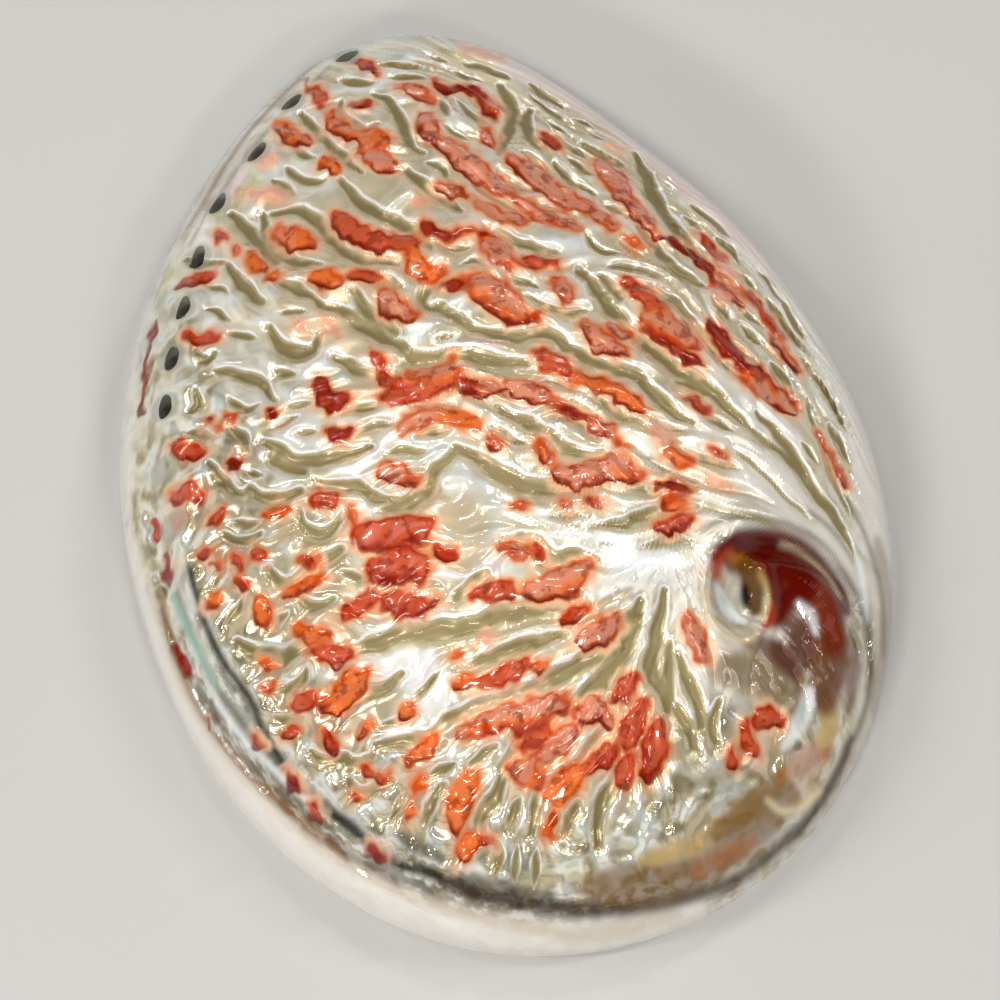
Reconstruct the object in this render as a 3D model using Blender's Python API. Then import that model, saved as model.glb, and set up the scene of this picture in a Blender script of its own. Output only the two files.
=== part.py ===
# Perlemoen abalone shell, polished outside, lying on its rim with the hollow side down.
# The shell grew as one piece, so it is one closed solid with its eight open holes cut through.
# Lengths are in millimetres in the tables and are turned to metres when the mesh is written.

import math

import bmesh
import bpy
import numpy as np
from mathutils import Vector

MM = 0.001

# Size of the whole shell
HEIGHT = 46.0
DOME_TOP = (1.0, -8.0)
RIM_LIP = 2.6
SHELF_LIP = 5.4
WALL = 3.8
SKIRT = 0.6

# Distance of the rim from the middle, every 20 degrees from +X
RIM_RADII = (63.9, 63.4, 65.9, 74.0, 83.7, 79.0, 70.4, 65.3, 62.6,
             62.4, 65.5, 70.7, 76.7, 80.8, 81.5, 78.5, 72.6, 67.3)

# Fullness of the dome and steepness of its edge, every 45 degrees from +X about the dome top
FULLNESS = (2.0, 2.0, 1.95, 2.05, 2.1, 2.1, 2.3, 2.1)
EDGE_POWER = (0.60, 0.68, 0.80, 0.70, 0.60, 0.56, 0.55, 0.60)

# The shoulder line: it carries the holes, runs round the back and ends as the suture of the spire
SHOULDER = ((3.5, 80.5), (-8.5, 75.0), (-17.3, 67.8), (-26.6, 61.5), (-33.1, 53.1), (-38.6, 44.5),
            (-43.5, 36.5), (-47.4, 28.6), (-51.2, 17.8), (-53.0, 7.9), (-54.8, -4.0), (-54.0, -21.0),
            (-45.5, -46.0), (-26.5, -68.5), (-8.0, -76.5), (9.5, -77.5), (27.5, -72.5), (37.0, -66.5),
            (41.5, -63.0), (46.5, -57.0), (50.0, -50.5), (51.3, -43.5), (50.0, -38.0), (46.0, -34.0),
            (40.5, -31.2), (35.5, -30.3), (29.0, -32.5))
OPEN_HOLES = 8
FILLED_HOLES = 2
SHOULDER_END = 13.0
SUTURE_START = 16.5
LAST_KNOT = 26.0

# Relief along the shoulder: a crest that carries the holes, a row of knobs where the holes end,
# and outside it a groove and a ledge. It fades in and out between the given points of the line.
CREST_HEIGHT = 0.9
CREST_WIDTH = 2.6
GROOVE_DEPTH = 2.3
GROOVE_OFFSET = 2.9
GROOVE_WIDTH = 1.9
LEDGE_HEIGHT = 0.7
LEDGE_OFFSET = 6.2
LEDGE_WIDTH = 2.0
GROOVE_IN = (6.5, 9.5)
GROOVE_OUT = (14.5, 17.5)
SUTURE_FADE = 4.0
KNOBS = 11
KNOBS_FROM = 9.7
KNOBS_TO = 14.4
KNOB_HEIGHT = 1.3
KNOB_RADIUS = 2.2
SUTURE_DEPTH = 3.4
SUTURE_WIDTH = 2.2
SUTURE_INSET = 1.2
FOLD_HEIGHT = 1.2
FOLD_OFFSET = 3.2
FOLD_WIDTH = 3.0

# Holes: an oval across and along the shoulder, and the low ring round each one
HOLE_ACROSS = 3.4
HOLE_ALONG = 4.4
HOLE_SIDES = 12
HOLE_REACH = 9.0
HOLE_LEAN = 0.45
HOLE_RING = 0.5
RING_RADIUS = 3.0
RING_WIDTH = 1.1
FILLED_DENT = 0.7

# Spire: it sinks below the dome, its last turn swells, and its worn tip is an open pit
SPIRE_CENTRE = (34.0, -42.0)
SPIRE_SINK = 5.0
SPIRE_SPREAD = 15.0
WHORL_CREST = ((33.5, -33.8), (38.5, -35.0), (43.5, -38.5), (45.5, -44.5), (44.0, -51.5), (39.0, -58.5))
WHORL_SWELL = 2.0
WHORL_WIDTH = 4.4
PIT_CENTRE = (31.2, -38.6)
PIT_RADII = (5.2, 7.2)
PIT_TURN = -0.35
PIT_DEPTH = 8.0
PIT_FLOOR = 0.25
PIT_LIP = 0.9
PIT_LIP_AT = 1.1
PIT_LIP_WIDTH = 0.22

# Hollow under the spire, kept clear of the pit
HOLLOW_DROP = 9.0
HOLLOW_SPREAD = 9.0
HOLLOW_EASE = 0.3

# Growth ridges: each line is a valley between two ridges, by its number and the points it passes
RIDGE_GUIDES = ((0.0, ((11, 74), (24, 59), (38, 42), (50, 22), (58, 0), (61, -20))),
                (3.0, ((-8, 75), (11, 64), (20, 50), (32, 33), (44, 19), (50, 2), (55, -13), (58, -29))),
                (5.0, ((-22, 63), (-13, 56), (0, 34), (20, 20), (40, 4), (50, -17), (55, -34))),
                (9.0, ((-47, 29), (-28, 16), (-4, 7), (17, -10), (31, -21), (42, -28))),
                (13.0, ((-55, -10), (-38, -14), (-19, -18), (2, -23), (20, -27))),
                (16.0, ((-45, -46), (-22, -41), (-1, -37), (15, -34))),
                (19.0, ((-26, -69), (-14, -58), (0, -49), (13, -40))),
                (21.0, ((-8, -78), (-2, -65), (6, -51), (15, -41))),
                (24.0, ((21, -77), (19, -64), (18, -51), (18, -43))))
RIDGE_HEIGHT = 1.6
RIDGE_SHARPNESS = 1.1
RIDGE_MEAN = 0.44
RIDGE_WANDER = 0.34
RIDGE_CROWDED = 1.8
RIDGE_FREE = 5.0
RIDGE_STEP = 0.5
SHEET_EASE = 0.5
WANDER_WAVES = 9
WANDER_LENGTH = 17.0
WANDER_RANGE = (0.6, 1.6)
WANDER_SEED = 7

# Smooth places that the ridges leave out: the outer lip, the spire and the band behind it
LIP_MARGIN = 0.1
RIM_EASE = 0.06
FLANK_FROM = -0.5
FLANK_TO = 2.0
SPIRE_CLEAR = 19.0
SPIRE_EDGE = 0.55
BAND_FROM = (18.0, -72.0)
BAND_SPREAD = 15.0

# Mesh: spokes and rings of the sphere that is pushed into the shell, and the facets kept
SPOKES = 240
RINGS = 140
INNER_RINGS = 34
FACETS_KEPT = 8900
SLAB_ACROSS = 200.0
SLAB_DEEP = 10.0
LEVEL = 0.002
SHARP_ANGLE = 50.0
RIM_SAMPLES = 1440
LINE_SAMPLES = 12
SHELF_TURN = 30.0


def catmull_rom(points, samples):
    """Points of a smooth curve through the given points, with their places in knots."""
    knots = np.array(points, dtype=float)
    padded = np.vstack((2 * knots[0] - knots[1], knots, 2 * knots[-1] - knots[-2]))
    places = np.linspace(0, len(knots) - 1, (len(knots) - 1) * samples + 1)
    first = np.minimum(places.astype(int), len(knots) - 2)
    t = (places - first)[:, None]
    a, b, c, d = (padded[first + k] for k in range(4))
    curve = 0.5 * (2 * b + (c - a) * t + (2 * a - 5 * b + 4 * c - d) * t ** 2
                   + (3 * b - a - 3 * c + d) * t ** 3)
    return curve, places


def around(values, angle):
    """Smooth closed curve through values that are evenly spaced round a full turn."""
    terms = np.fft.rfft(values) / len(values)
    result = np.full(np.shape(angle), terms[0].real)
    for k in range(1, len(terms)):
        share = 1.0 if 2 * k == len(values) else 2.0
        result = result + share * (terms[k].real * np.cos(k * angle) - terms[k].imag * np.sin(k * angle))
    return result


def smooth_step(low, high, value):
    """Zero below low, one above high, and an even slope between them."""
    t = np.clip((value - low) / (high - low), 0.0, 1.0)
    return t * t * (3.0 - 2.0 * t)


def bell(distance, width):
    """A smooth bump of height one."""
    return np.exp(-(distance / width) ** 2)


def rim_share(x, y, inset):
    """How far a point lies from the dome top on its way to the rim, with the angle it lies at."""
    angle = np.linspace(0, 2 * math.pi, RIM_SAMPLES, endpoint=False)
    radius = around(RIM_RADII, angle) - inset(angle)
    across = radius * np.cos(angle) - DOME_TOP[0]
    along = radius * np.sin(angle) - DOME_TOP[1]
    bearing = np.arctan2(y - DOME_TOP[1], x - DOME_TOP[0])
    order = np.argsort(np.arctan2(along, across))
    reach = np.interp(bearing, np.arctan2(along, across)[order], np.hypot(across, along)[order],
                      period=2 * math.pi)
    return np.clip(np.hypot(x - DOME_TOP[0], y - DOME_TOP[1]) / reach, 0.0, 1.0), bearing


def dome(x, y, height, inset):
    """Height of the plain dome, without any relief."""
    share, bearing = rim_share(x, y, inset)
    full = np.clip(1.0 - share ** around(FULLNESS, bearing), 0.0, 1.0)
    return height * full ** around(EDGE_POWER, bearing)


def no_inset(angle):
    """The outer edge of the rim."""
    return np.zeros_like(angle)


def lip_inset(angle):
    """Width of the rim: a thin outer lip, and a broad shelf along the side with the holes."""
    shelf = 0.5 - 0.5 * np.cos(angle - math.radians(SHELF_TURN))
    return RIM_LIP + (SHELF_LIP - RIM_LIP) * shelf ** 2


def nearest(x, y, points):
    """Distance to a curve through the points, the place on it, and the side: positive is outside."""
    curve, places = catmull_rom(points, LINE_SAMPLES)
    run = np.gradient(curve, axis=0)
    best = np.full(x.shape, np.inf)
    place = np.zeros(x.shape)
    side = np.zeros(x.shape)
    for (px, py), (tx, ty), spot in zip(curve, run, places):
        distance = np.hypot(x - px, y - py)
        closer = distance < best
        best = np.where(closer, distance, best)
        place = np.where(closer, spot, place)
        side = np.where(closer, tx * (y - py) - ty * (x - px), side)
    return best, place, np.sign(-side)


def thin_plate(points, values):
    """Smoothest sheet through the given values at the given points, as a function of x and y."""
    spots = np.array(points, dtype=float)
    gaps = np.hypot(*(spots[:, None, :] - spots[None, :, :]).transpose(2, 0, 1))
    count = len(spots)
    system = np.zeros((count + 3, count + 3))
    system[:count, :count] = gaps ** 2 * np.log(gaps + 1e-9) + SHEET_EASE * np.eye(count)
    system[:count, count] = 1.0
    system[:count, count + 1:] = spots
    system[count:, :count] = system[:count, count:].T
    weights = np.linalg.solve(system, np.concatenate((values, np.zeros(3))))

    def sheet(x, y):
        total = weights[count] + weights[count + 1] * x + weights[count + 2] * y
        for (px, py), weight in zip(spots, weights[:count]):
            gap = np.hypot(x - px, y - py)
            total = total + weight * gap ** 2 * np.log(gap + 1e-9)
        return total

    return sheet


def wander(x, y):
    """Slow seeded waves that make the ridges swing to and fro."""
    draw = np.random.default_rng(WANDER_SEED)
    total = np.zeros_like(x)
    for _ in range(WANDER_WAVES):
        heading = draw.uniform(0.0, 2 * math.pi)
        length = WANDER_LENGTH * draw.uniform(*WANDER_RANGE)
        start = draw.uniform(0.0, 2 * math.pi)
        total += np.sin(2 * math.pi * (x * math.cos(heading) + y * math.sin(heading)) / length + start)
    return total / math.sqrt(WANDER_WAVES)


def ridges(x, y, outward):
    """Growth ridges: broad crests and narrow valleys that run from the shoulder to the spire."""
    spots = [spot for _, line in RIDGE_GUIDES for spot in line]
    numbers = [number for number, line in RIDGE_GUIDES for _ in line]
    sheet = thin_plate(spots, np.array(numbers))
    plain = sheet(x, y)
    steep = np.hypot(sheet(x + RIDGE_STEP, y) - plain, sheet(x, y + RIDGE_STEP) - plain) / RIDGE_STEP
    room = smooth_step(RIDGE_CROWDED, RIDGE_FREE, 1.0 / np.maximum(steep, 0.01))
    number = plain + RIDGE_WANDER * wander(x, y)
    crest = RIDGE_MEAN - np.exp(RIDGE_SHARPNESS * (np.cos(2 * math.pi * number) - 1.0))
    share, _ = rim_share(x, y, no_inset)
    inner = 1.0 - smooth_step(FLANK_FROM, FLANK_TO, outward)
    margin = smooth_step(0.0, LIP_MARGIN, 1.0 - share)
    spire = smooth_step(SPIRE_EDGE, 1.0, np.hypot(x - SPIRE_CENTRE[0], y - SPIRE_CENTRE[1]) / SPIRE_CLEAR)
    band = 1.0 - bell(np.hypot(x - BAND_FROM[0], y - BAND_FROM[1]), BAND_SPREAD)
    return RIDGE_HEIGHT * crest * room * margin * spire * band * inner


def knob_relief(x, y):
    """A row of knobs on the shoulder, behind the last filled hole."""
    curve, places = catmull_rom(SHOULDER, LINE_SAMPLES)
    relief = np.zeros_like(x)
    for place in np.linspace(KNOBS_FROM, KNOBS_TO, KNOBS):
        px, py = curve[int(np.argmin(np.abs(places - place)))]
        relief += KNOB_HEIGHT * bell(np.hypot(x - px, y - py), KNOB_RADIUS)
    return relief


def shoulder_relief(x, y, outward, place):
    """Crest, groove and suture that follow the shoulder line, and the swell of the spire."""
    distance = np.abs(outward)
    on_shoulder = 1.0 - smooth_step(SHOULDER_END, SUTURE_START, place)
    relief = CREST_HEIGHT * bell(distance, CREST_WIDTH) * on_shoulder + knob_relief(x, y)
    groove = smooth_step(*GROOVE_IN, place) * (1.0 - smooth_step(*GROOVE_OUT, place))
    relief -= GROOVE_DEPTH * bell(outward - GROOVE_OFFSET, GROOVE_WIDTH) * groove
    relief += LEDGE_HEIGHT * bell(outward - LEDGE_OFFSET, LEDGE_WIDTH) * groove
    suture = smooth_step(SUTURE_START, SUTURE_START + SUTURE_FADE, place)
    suture *= 1.0 - smooth_step(LAST_KNOT - 1.0, LAST_KNOT, place)
    relief += FOLD_HEIGHT * bell(outward - FOLD_OFFSET, FOLD_WIDTH) * suture
    relief -= SUTURE_DEPTH * bell(outward + SUTURE_INSET, SUTURE_WIDTH) * suture
    swell, _, _ = nearest(x, y, WHORL_CREST)
    return relief + WHORL_SWELL * bell(swell, WHORL_WIDTH)


def pit_relief(x, y):
    """The open tip of the spire: a steep oval pit with a low lip."""
    across = x - PIT_CENTRE[0]
    along = y - PIT_CENTRE[1]
    turned_x = across * math.cos(PIT_TURN) + along * math.sin(PIT_TURN)
    turned_y = -across * math.sin(PIT_TURN) + along * math.cos(PIT_TURN)
    share = np.hypot(turned_x / PIT_RADII[0], turned_y / PIT_RADII[1])
    lip = PIT_LIP * bell(share - PIT_LIP_AT, PIT_LIP_WIDTH)
    return lip - PIT_DEPTH * (1.0 - smooth_step(PIT_FLOOR, 1.0, share))


def hole_spots():
    """Places of the open and the filled holes along the shoulder line."""
    return SHOULDER[:OPEN_HOLES], SHOULDER[OPEN_HOLES:OPEN_HOLES + FILLED_HOLES]


def hole_relief(x, y):
    """Low rings round the holes, and dents where old holes have filled."""
    opened, filled = hole_spots()
    relief = np.zeros_like(x)
    for px, py in opened[1:] + filled:
        relief += HOLE_RING * bell(np.hypot(x - px, y - py) - RING_RADIUS, RING_WIDTH)
    for px, py in filled:
        relief -= FILLED_DENT * bell(np.hypot(x - px, y - py), HOLE_ACROSS / 2)
    return relief


def outside(x, y):
    """Height of the polished outside over a point inside the rim."""
    share, _ = rim_share(x, y, no_inset)
    plain = dome(x, y, HEIGHT, no_inset)
    sink = SPIRE_SINK * bell(np.hypot(x - SPIRE_CENTRE[0], y - SPIRE_CENTRE[1]), SPIRE_SPREAD)
    distance, place, side = nearest(x, y, SHOULDER)
    outward = distance * side
    relief = ridges(x, y, np.where(place < SUTURE_START, outward, -1.0))
    relief += shoulder_relief(x, y, outward, place) + pit_relief(x, y) + hole_relief(x, y) - sink
    return plain + relief * smooth_step(0.0, RIM_EASE, 1.0 - share)


def inside(x, y):
    """Height of the smooth hollow side over a point inside the rim."""
    share, _ = rim_share(x, y, lip_inset)
    plain = dome(x, y, HEIGHT - WALL, lip_inset)
    sink = SPIRE_SINK * bell(np.hypot(x - SPIRE_CENTRE[0], y - SPIRE_CENTRE[1]), SPIRE_SPREAD)
    drop = HOLLOW_DROP * bell(np.hypot(x - PIT_CENTRE[0], y - PIT_CENTRE[1]), HOLLOW_SPREAD)
    return plain - (sink + drop) * smooth_step(0.0, HOLLOW_EASE, 1.0 - share)


def shell_mesh():
    """A sphere whose top half is pushed into the outside and whose bottom half is the hollow."""
    mesh = bpy.data.meshes.new("shell_form")
    form = bmesh.new()
    bmesh.ops.create_uvsphere(form, u_segments=SPOKES, v_segments=RINGS, radius=1.0)
    form.to_mesh(mesh)
    form.free()
    spot = np.empty(len(mesh.vertices) * 3)
    mesh.vertices.foreach_get("co", spot)
    spot = spot.reshape(-1, 3)

    angle = np.arctan2(spot[:, 1], spot[:, 0])
    ring = np.rint(np.arccos(np.clip(spot[:, 2], -1.0, 1.0)) / math.pi * RINGS)
    outer_rings = RINGS - INNER_RINGS
    outer = ring < outer_rings
    outer_reach = ring / (outer_rings - 2)
    inner_reach = (RINGS - ring) / (INNER_RINGS - 1)
    reach = np.sin(np.clip(np.where(outer, outer_reach, inner_reach), 0.0, 1.0) * math.pi / 2)
    radius = around(RIM_RADII, angle)
    radius = np.where(outer, radius, radius - lip_inset(angle)) * reach
    x = radius * np.cos(angle)
    y = radius * np.sin(angle)
    z = np.where(outer, outside(x, y), inside(x, y))
    z = np.where((ring == outer_rings - 1) | (ring == outer_rings), -SKIRT, z)
    mesh.vertices.foreach_set("co", (np.column_stack((x, y, z)) * MM).ravel())
    mesh.update()
    return mesh


def shell_material():
    """Polished nacre: a pale grey-beige that shines like metal under a clear coat."""
    material = bpy.data.materials.new("polished_nacre")
    material.use_nodes = True
    finish = material.node_tree.nodes["Principled BSDF"]
    finish.inputs["Base Color"].default_value = (0.55, 0.44, 0.33, 1.0)
    finish.inputs["Metallic"].default_value = 0.3
    finish.inputs["Roughness"].default_value = 0.22
    finish.inputs["Coat Weight"].default_value = 0.8
    return material


def make_cutter(name, mesh, collection):
    """An object that only cuts: drawn as wire, and never rendered."""
    cutter = bpy.data.objects.new(name, mesh)
    cutter.hide_render = True
    cutter.display_type = "WIRE"
    collection.objects.link(cutter)
    return cutter


def hole_cutter(index, collection):
    """An oval plug at one of the open holes. It leans with the shell, but by less than square to it."""
    x, y = (np.array([value]) for value in SHOULDER[index])
    step = 1.0
    slope_x = (dome(x + step, y, HEIGHT, no_inset) - dome(x - step, y, HEIGHT, no_inset))[0] / (2 * step)
    slope_y = (dome(x, y + step, HEIGHT, no_inset) - dome(x, y - step, HEIGHT, no_inset))[0] / (2 * step)
    axis = Vector((-slope_x * HOLE_LEAN, -slope_y * HOLE_LEAN, 1.0)).normalized()
    curve, places = catmull_rom(SHOULDER, LINE_SAMPLES)
    run = np.gradient(curve, axis=0)[int(np.argmin(np.abs(places - index)))]
    along = Vector((run[0], run[1], 0.0))
    along = (along - axis * along.dot(axis)).normalized()
    across = along.cross(axis)
    mesh = bpy.data.meshes.new(f"hole_{index + 1}")
    plug = bmesh.new()
    bmesh.ops.create_cone(plug, cap_ends=True, segments=HOLE_SIDES, radius1=0.5, radius2=0.5, depth=1.0)
    for vertex in plug.verts:
        where = (across * vertex.co.x * HOLE_ACROSS + along * vertex.co.y * HOLE_ALONG
                 + axis * vertex.co.z * 2 * HOLE_REACH)
        centre = Vector((x[0], y[0], outside(x, y)[0]))
        vertex.co = (centre + where) * MM
    plug.to_mesh(mesh)
    plug.free()
    return make_cutter(f"cut_hole_{index + 1}", mesh, collection)


def base_cutter(collection):
    """A slab whose top trims the rim flat, so that the shell rests on it."""
    mesh = bpy.data.meshes.new("base_slab")
    slab = bmesh.new()
    bmesh.ops.create_cube(slab, size=1.0)
    for vertex in slab.verts:
        flat = vertex.co.xy * SLAB_ACROSS
        vertex.co = Vector((flat.x, flat.y, (vertex.co.z - 0.5) * SLAB_DEEP)) * MM
    slab.to_mesh(mesh)
    slab.free()
    return make_cutter("cut_base", mesh, collection)


def settle(shell):
    """Keep the cut shape as a plain mesh, with the middle of its box over the origin."""
    graph = bpy.context.evaluated_depsgraph_get()
    mesh = bpy.data.meshes.new_from_object(shell.evaluated_get(graph))
    spot = np.empty(len(mesh.vertices) * 3)
    mesh.vertices.foreach_get("co", spot)
    spot = spot.reshape(-1, 3)
    middle = (spot.min(axis=0) + spot.max(axis=0)) / 2
    middle[2] = 0.0
    spot = spot - middle
    spot[:, 2] = np.where(spot[:, 2] < LEVEL * MM, 0.0, spot[:, 2])
    mesh.vertices.foreach_set("co", spot.ravel())
    mesh.name = "abalone_shell"
    shell.modifiers.clear()
    shell.data = mesh
    mesh.shade_smooth()
    mesh.set_sharp_from_angle(angle=math.radians(SHARP_ANGLE))


def build():
    """Make the shell."""
    for old in list(bpy.data.objects):
        bpy.data.objects.remove(old, do_unlink=True)
    parts = bpy.data.collections.new("perlemoen_abalone_shell")
    cutters = bpy.data.collections.new("cutters")
    for collection in (parts, cutters):
        bpy.context.scene.collection.children.link(collection)

    shell = bpy.data.objects.new("abalone_shell", shell_mesh())
    shell.data.materials.append(shell_material())
    parts.objects.link(shell)
    fewer = shell.modifiers.new("fewer_facets", "DECIMATE")
    fewer.ratio = FACETS_KEPT / (2 * SPOKES * (RINGS - 1))
    for cutter in [base_cutter(cutters)] + [hole_cutter(i, cutters) for i in range(OPEN_HOLES)]:
        cut = shell.modifiers.new(cutter.name, "BOOLEAN")
        cut.operation = "DIFFERENCE"
        cut.solver = "EXACT"
        cut.object = cutter
    settle(shell)


build()
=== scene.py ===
"""Polished perlemoen abalone shell, lying on its rim on a plain pale floor in soft studio light."""

import logging
import math
from dataclasses import dataclass, field
from enum import Enum
from typing import Callable, Iterator, Sequence

import bpy
import numpy as np
from mathutils import Matrix, Vector


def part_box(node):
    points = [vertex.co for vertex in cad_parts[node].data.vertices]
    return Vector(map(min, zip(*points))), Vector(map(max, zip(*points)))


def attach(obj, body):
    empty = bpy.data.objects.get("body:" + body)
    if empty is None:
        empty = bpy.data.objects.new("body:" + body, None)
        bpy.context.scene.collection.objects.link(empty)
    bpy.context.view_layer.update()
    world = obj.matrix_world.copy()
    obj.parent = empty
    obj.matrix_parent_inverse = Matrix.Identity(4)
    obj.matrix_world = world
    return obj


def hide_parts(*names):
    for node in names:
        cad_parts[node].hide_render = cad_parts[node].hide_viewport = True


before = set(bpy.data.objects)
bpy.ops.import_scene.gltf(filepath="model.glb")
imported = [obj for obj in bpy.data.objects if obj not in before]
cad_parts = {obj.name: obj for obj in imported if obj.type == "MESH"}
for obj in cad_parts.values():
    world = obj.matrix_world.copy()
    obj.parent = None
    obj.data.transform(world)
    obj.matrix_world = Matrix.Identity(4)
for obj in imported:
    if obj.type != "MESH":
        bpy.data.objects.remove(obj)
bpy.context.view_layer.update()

log = logging.getLogger("abalone_shell")

MM = 0.001
TURN = 2.0 * math.pi
Triple = tuple[float, float, float]
Span = tuple[float, ...]
Spots = tuple[tuple[float, float], ...]
Socket = bpy.types.NodeSocket
Array = np.ndarray
HALF = 0.5


def smooth_step(low: float, high: float, value: Array) -> Array:
    """Ease a value from zero at one limit to one at the other.

    Args:
        low: Value that gives zero.
        high: Value that gives one.
        value: Values to ease.

    Returns:
        The eased values, between zero and one.
    """
    t = np.clip((value - low) / (high - low), 0.0, 1.0)
    return t * t * (3.0 - 2.0 * t)


def bell(distance: Array, width: float) -> Array:
    """Make a smooth bump of height one.

    Args:
        distance: Distance from the middle of the bump.
        width: Distance at which the bump has fallen to about a third.

    Returns:
        The height of the bump.
    """
    return np.exp(-(distance / width) ** 2)


def catmull_rom(points: Spots, samples: int) -> tuple[Array, Array]:
    """Draw a smooth curve through points.

    Args:
        points: The points, as pairs or as longer rows of numbers.
        samples: Steps from one point to the next.

    Returns:
        The curve's points, and the place of each of them counted in given points.
    """
    knots = np.array(points, dtype=float)
    padded = np.vstack((2 * knots[0] - knots[1], knots, 2 * knots[-1] - knots[-2]))
    places = np.linspace(0, len(knots) - 1, (len(knots) - 1) * samples + 1)
    first = np.minimum(places.astype(int), len(knots) - 2)
    t = (places - first)[:, None]
    a, b, c, d = (padded[first + k] for k in range(4))
    curve = 0.5 * (2 * b + (c - a) * t + (2 * a - 5 * b + 4 * c - d) * t ** 2
                   + (3 * b - a - 3 * c + d) * t ** 3)
    return curve, places


def around(values: tuple[float, ...], angle: Array) -> Array:
    """Read a smooth closed curve through values that are evenly spaced round a full turn.

    Args:
        values: The values, the first one at angle zero.
        angle: Angles to read at, in radians.

    Returns:
        The curve's value at each angle.
    """
    terms = np.fft.rfft(values) / len(values)
    result = np.full(np.shape(angle), terms[0].real)
    for k in range(1, len(terms)):
        share = 1.0 if 2 * k == len(values) else 2.0
        result = result + share * (terms[k].real * np.cos(k * angle) - terms[k].imag * np.sin(k * angle))
    return result


def thin_plate(points: Spots, values: Array, ease: float) -> Callable:
    """Bend the smoothest sheet through values at points.

    Args:
        points: Places in millimetres.
        values: The value at each place.
        ease: How far the sheet may miss a value.

    Returns:
        A function of x and y that gives the sheet's value.
    """
    spots = np.array(points, dtype=float)
    gaps = np.hypot(*(spots[:, None, :] - spots[None, :, :]).transpose(2, 0, 1))
    count = len(spots)
    system = np.zeros((count + 3, count + 3))
    system[:count, :count] = gaps ** 2 * np.log(gaps + 1e-9) + ease * np.eye(count)
    system[:count, count] = 1.0
    system[:count, count + 1:] = spots
    system[count:, :count] = system[:count, count:].T
    weights = np.linalg.solve(system, np.concatenate((values, np.zeros(3))))

    def sheet(x: Array, y: Array) -> Array:
        """Give the sheet's value at each x and y."""
        total = weights[count] + weights[count + 1] * x + weights[count + 2] * y
        for (px, py), weight in zip(spots, weights[:count]):
            gap = np.hypot(x - px, y - py)
            total = total + weight * gap ** 2 * np.log(gap + 1e-9)
        return total

    return sheet


def gap_to(x: Array, y: Array, spot: Sequence[float]) -> Array:
    """Give the distance of places from a spot."""
    return np.hypot(x - spot[0], y - spot[1])


def rises(values: Callable, x: Array, y: Array, step: float) -> tuple[Array, Array]:
    """Give how much a field of x and y rises over one step across and over one step along."""
    here = values(x, y)
    return values(x + step, y) - here, values(x, y + step) - here


def level_way(values: Callable, x: Array, y: Array, step: float) -> tuple[Array, Array]:
    """Give the direction in which a field of x and y stays level.

    Args:
        values: The field.
        x: Places across.
        y: Places along.
        step: Distance over which its rise is measured.

    Returns:
        The direction's parts across and along.
    """
    rise_x, rise_y = rises(values, x, y, step)
    size = np.maximum(np.hypot(rise_x, rise_y), 1e-4)
    return rise_y / size, -rise_x / size


def waves(x: Array, y: Array, length: float, seed: int, count: int = 12) -> Array:
    """Sum slow seeded waves into an uneven field.

    Args:
        x: Places across, in millimetres.
        y: Places along, in millimetres.
        length: Middle wavelength in millimetres.
        seed: Seed of the draw.
        count: Number of waves.

    Returns:
        A field that stays mostly between minus one and one.
    """
    draw = np.random.default_rng(seed)
    total = np.zeros_like(x)
    for _ in range(count):
        heading = draw.uniform(0.0, TURN)
        reach = length * draw.uniform(0.6, 1.6)
        start = draw.uniform(0.0, TURN)
        total += np.sin(TURN * (x * math.cos(heading) + y * math.sin(heading)) / reach + start)
    return total / math.sqrt(count)


def direction(azimuth: float, elevation: float) -> Vector:
    """Give the way from the shell to a camera or a lamp that stands at these angles, in degrees."""
    turn, rise = math.radians(azimuth), math.radians(elevation)
    return Vector((math.sin(turn) * math.cos(rise), -math.cos(turn) * math.cos(rise), math.sin(rise)))


@dataclass(frozen=True)
class PhotoView:
    """Where the picture was taken from, so that what is seen at a pixel finds its place on the shell."""

    azimuth: float = -20.0
    elevation: float = 75.0
    aim: tuple[float, float] = (1.7, -1.4)
    pixel_mm: float = 0.17
    middle: float = 500.0
    distance_mm: float = 1300.0
    first_height: float = 20.0
    steps: int = 14

    def back(self) -> Vector:
        """Give the direction from the shell to the camera."""
        return direction(self.azimuth, self.elevation)

    def level(self, u: Array, v: Array, z: Array) -> tuple[Array, Array]:
        """Find the point at a given height that is seen at a pixel.

        Args:
            u: Pixels from the left.
            v: Pixels from the top.
            z: Heights in millimetres.

        Returns:
            Places across and along, in millimetres.
        """
        turn, rise = math.radians(-self.azimuth), math.radians(self.elevation)
        above, away = self.distance_mm * math.sin(rise), self.distance_mm * math.cos(rise)
        right, raised = (u - self.middle) * self.pixel_mm, (self.middle - v) * self.pixel_mm
        share = (above - z) / (above - raised * math.cos(rise))
        across = share * right
        up = share * (raised * math.sin(rise) + away) - away
        x = math.cos(turn) * across + math.sin(turn) * up + self.aim[0]
        y = -math.sin(turn) * across + math.cos(turn) * up + self.aim[1]
        return x, y

    def on_shell(self, spots: Spots, height: Callable) -> Array:
        """Find the places on the shell that are seen at pixels.

        Args:
            spots: Pixels as pairs from the left and from the top.
            height: Height of the shell over x and y, in millimetres.

        Returns:
            Rows of x and y in millimetres.
        """
        u, v = np.array(spots, dtype=float).T
        z = np.full(len(u), self.first_height)
        for _ in range(self.steps):
            z = HALF * z + HALF * height(*self.level(u, v, z))
        return np.column_stack(self.level(u, v, z))


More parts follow.
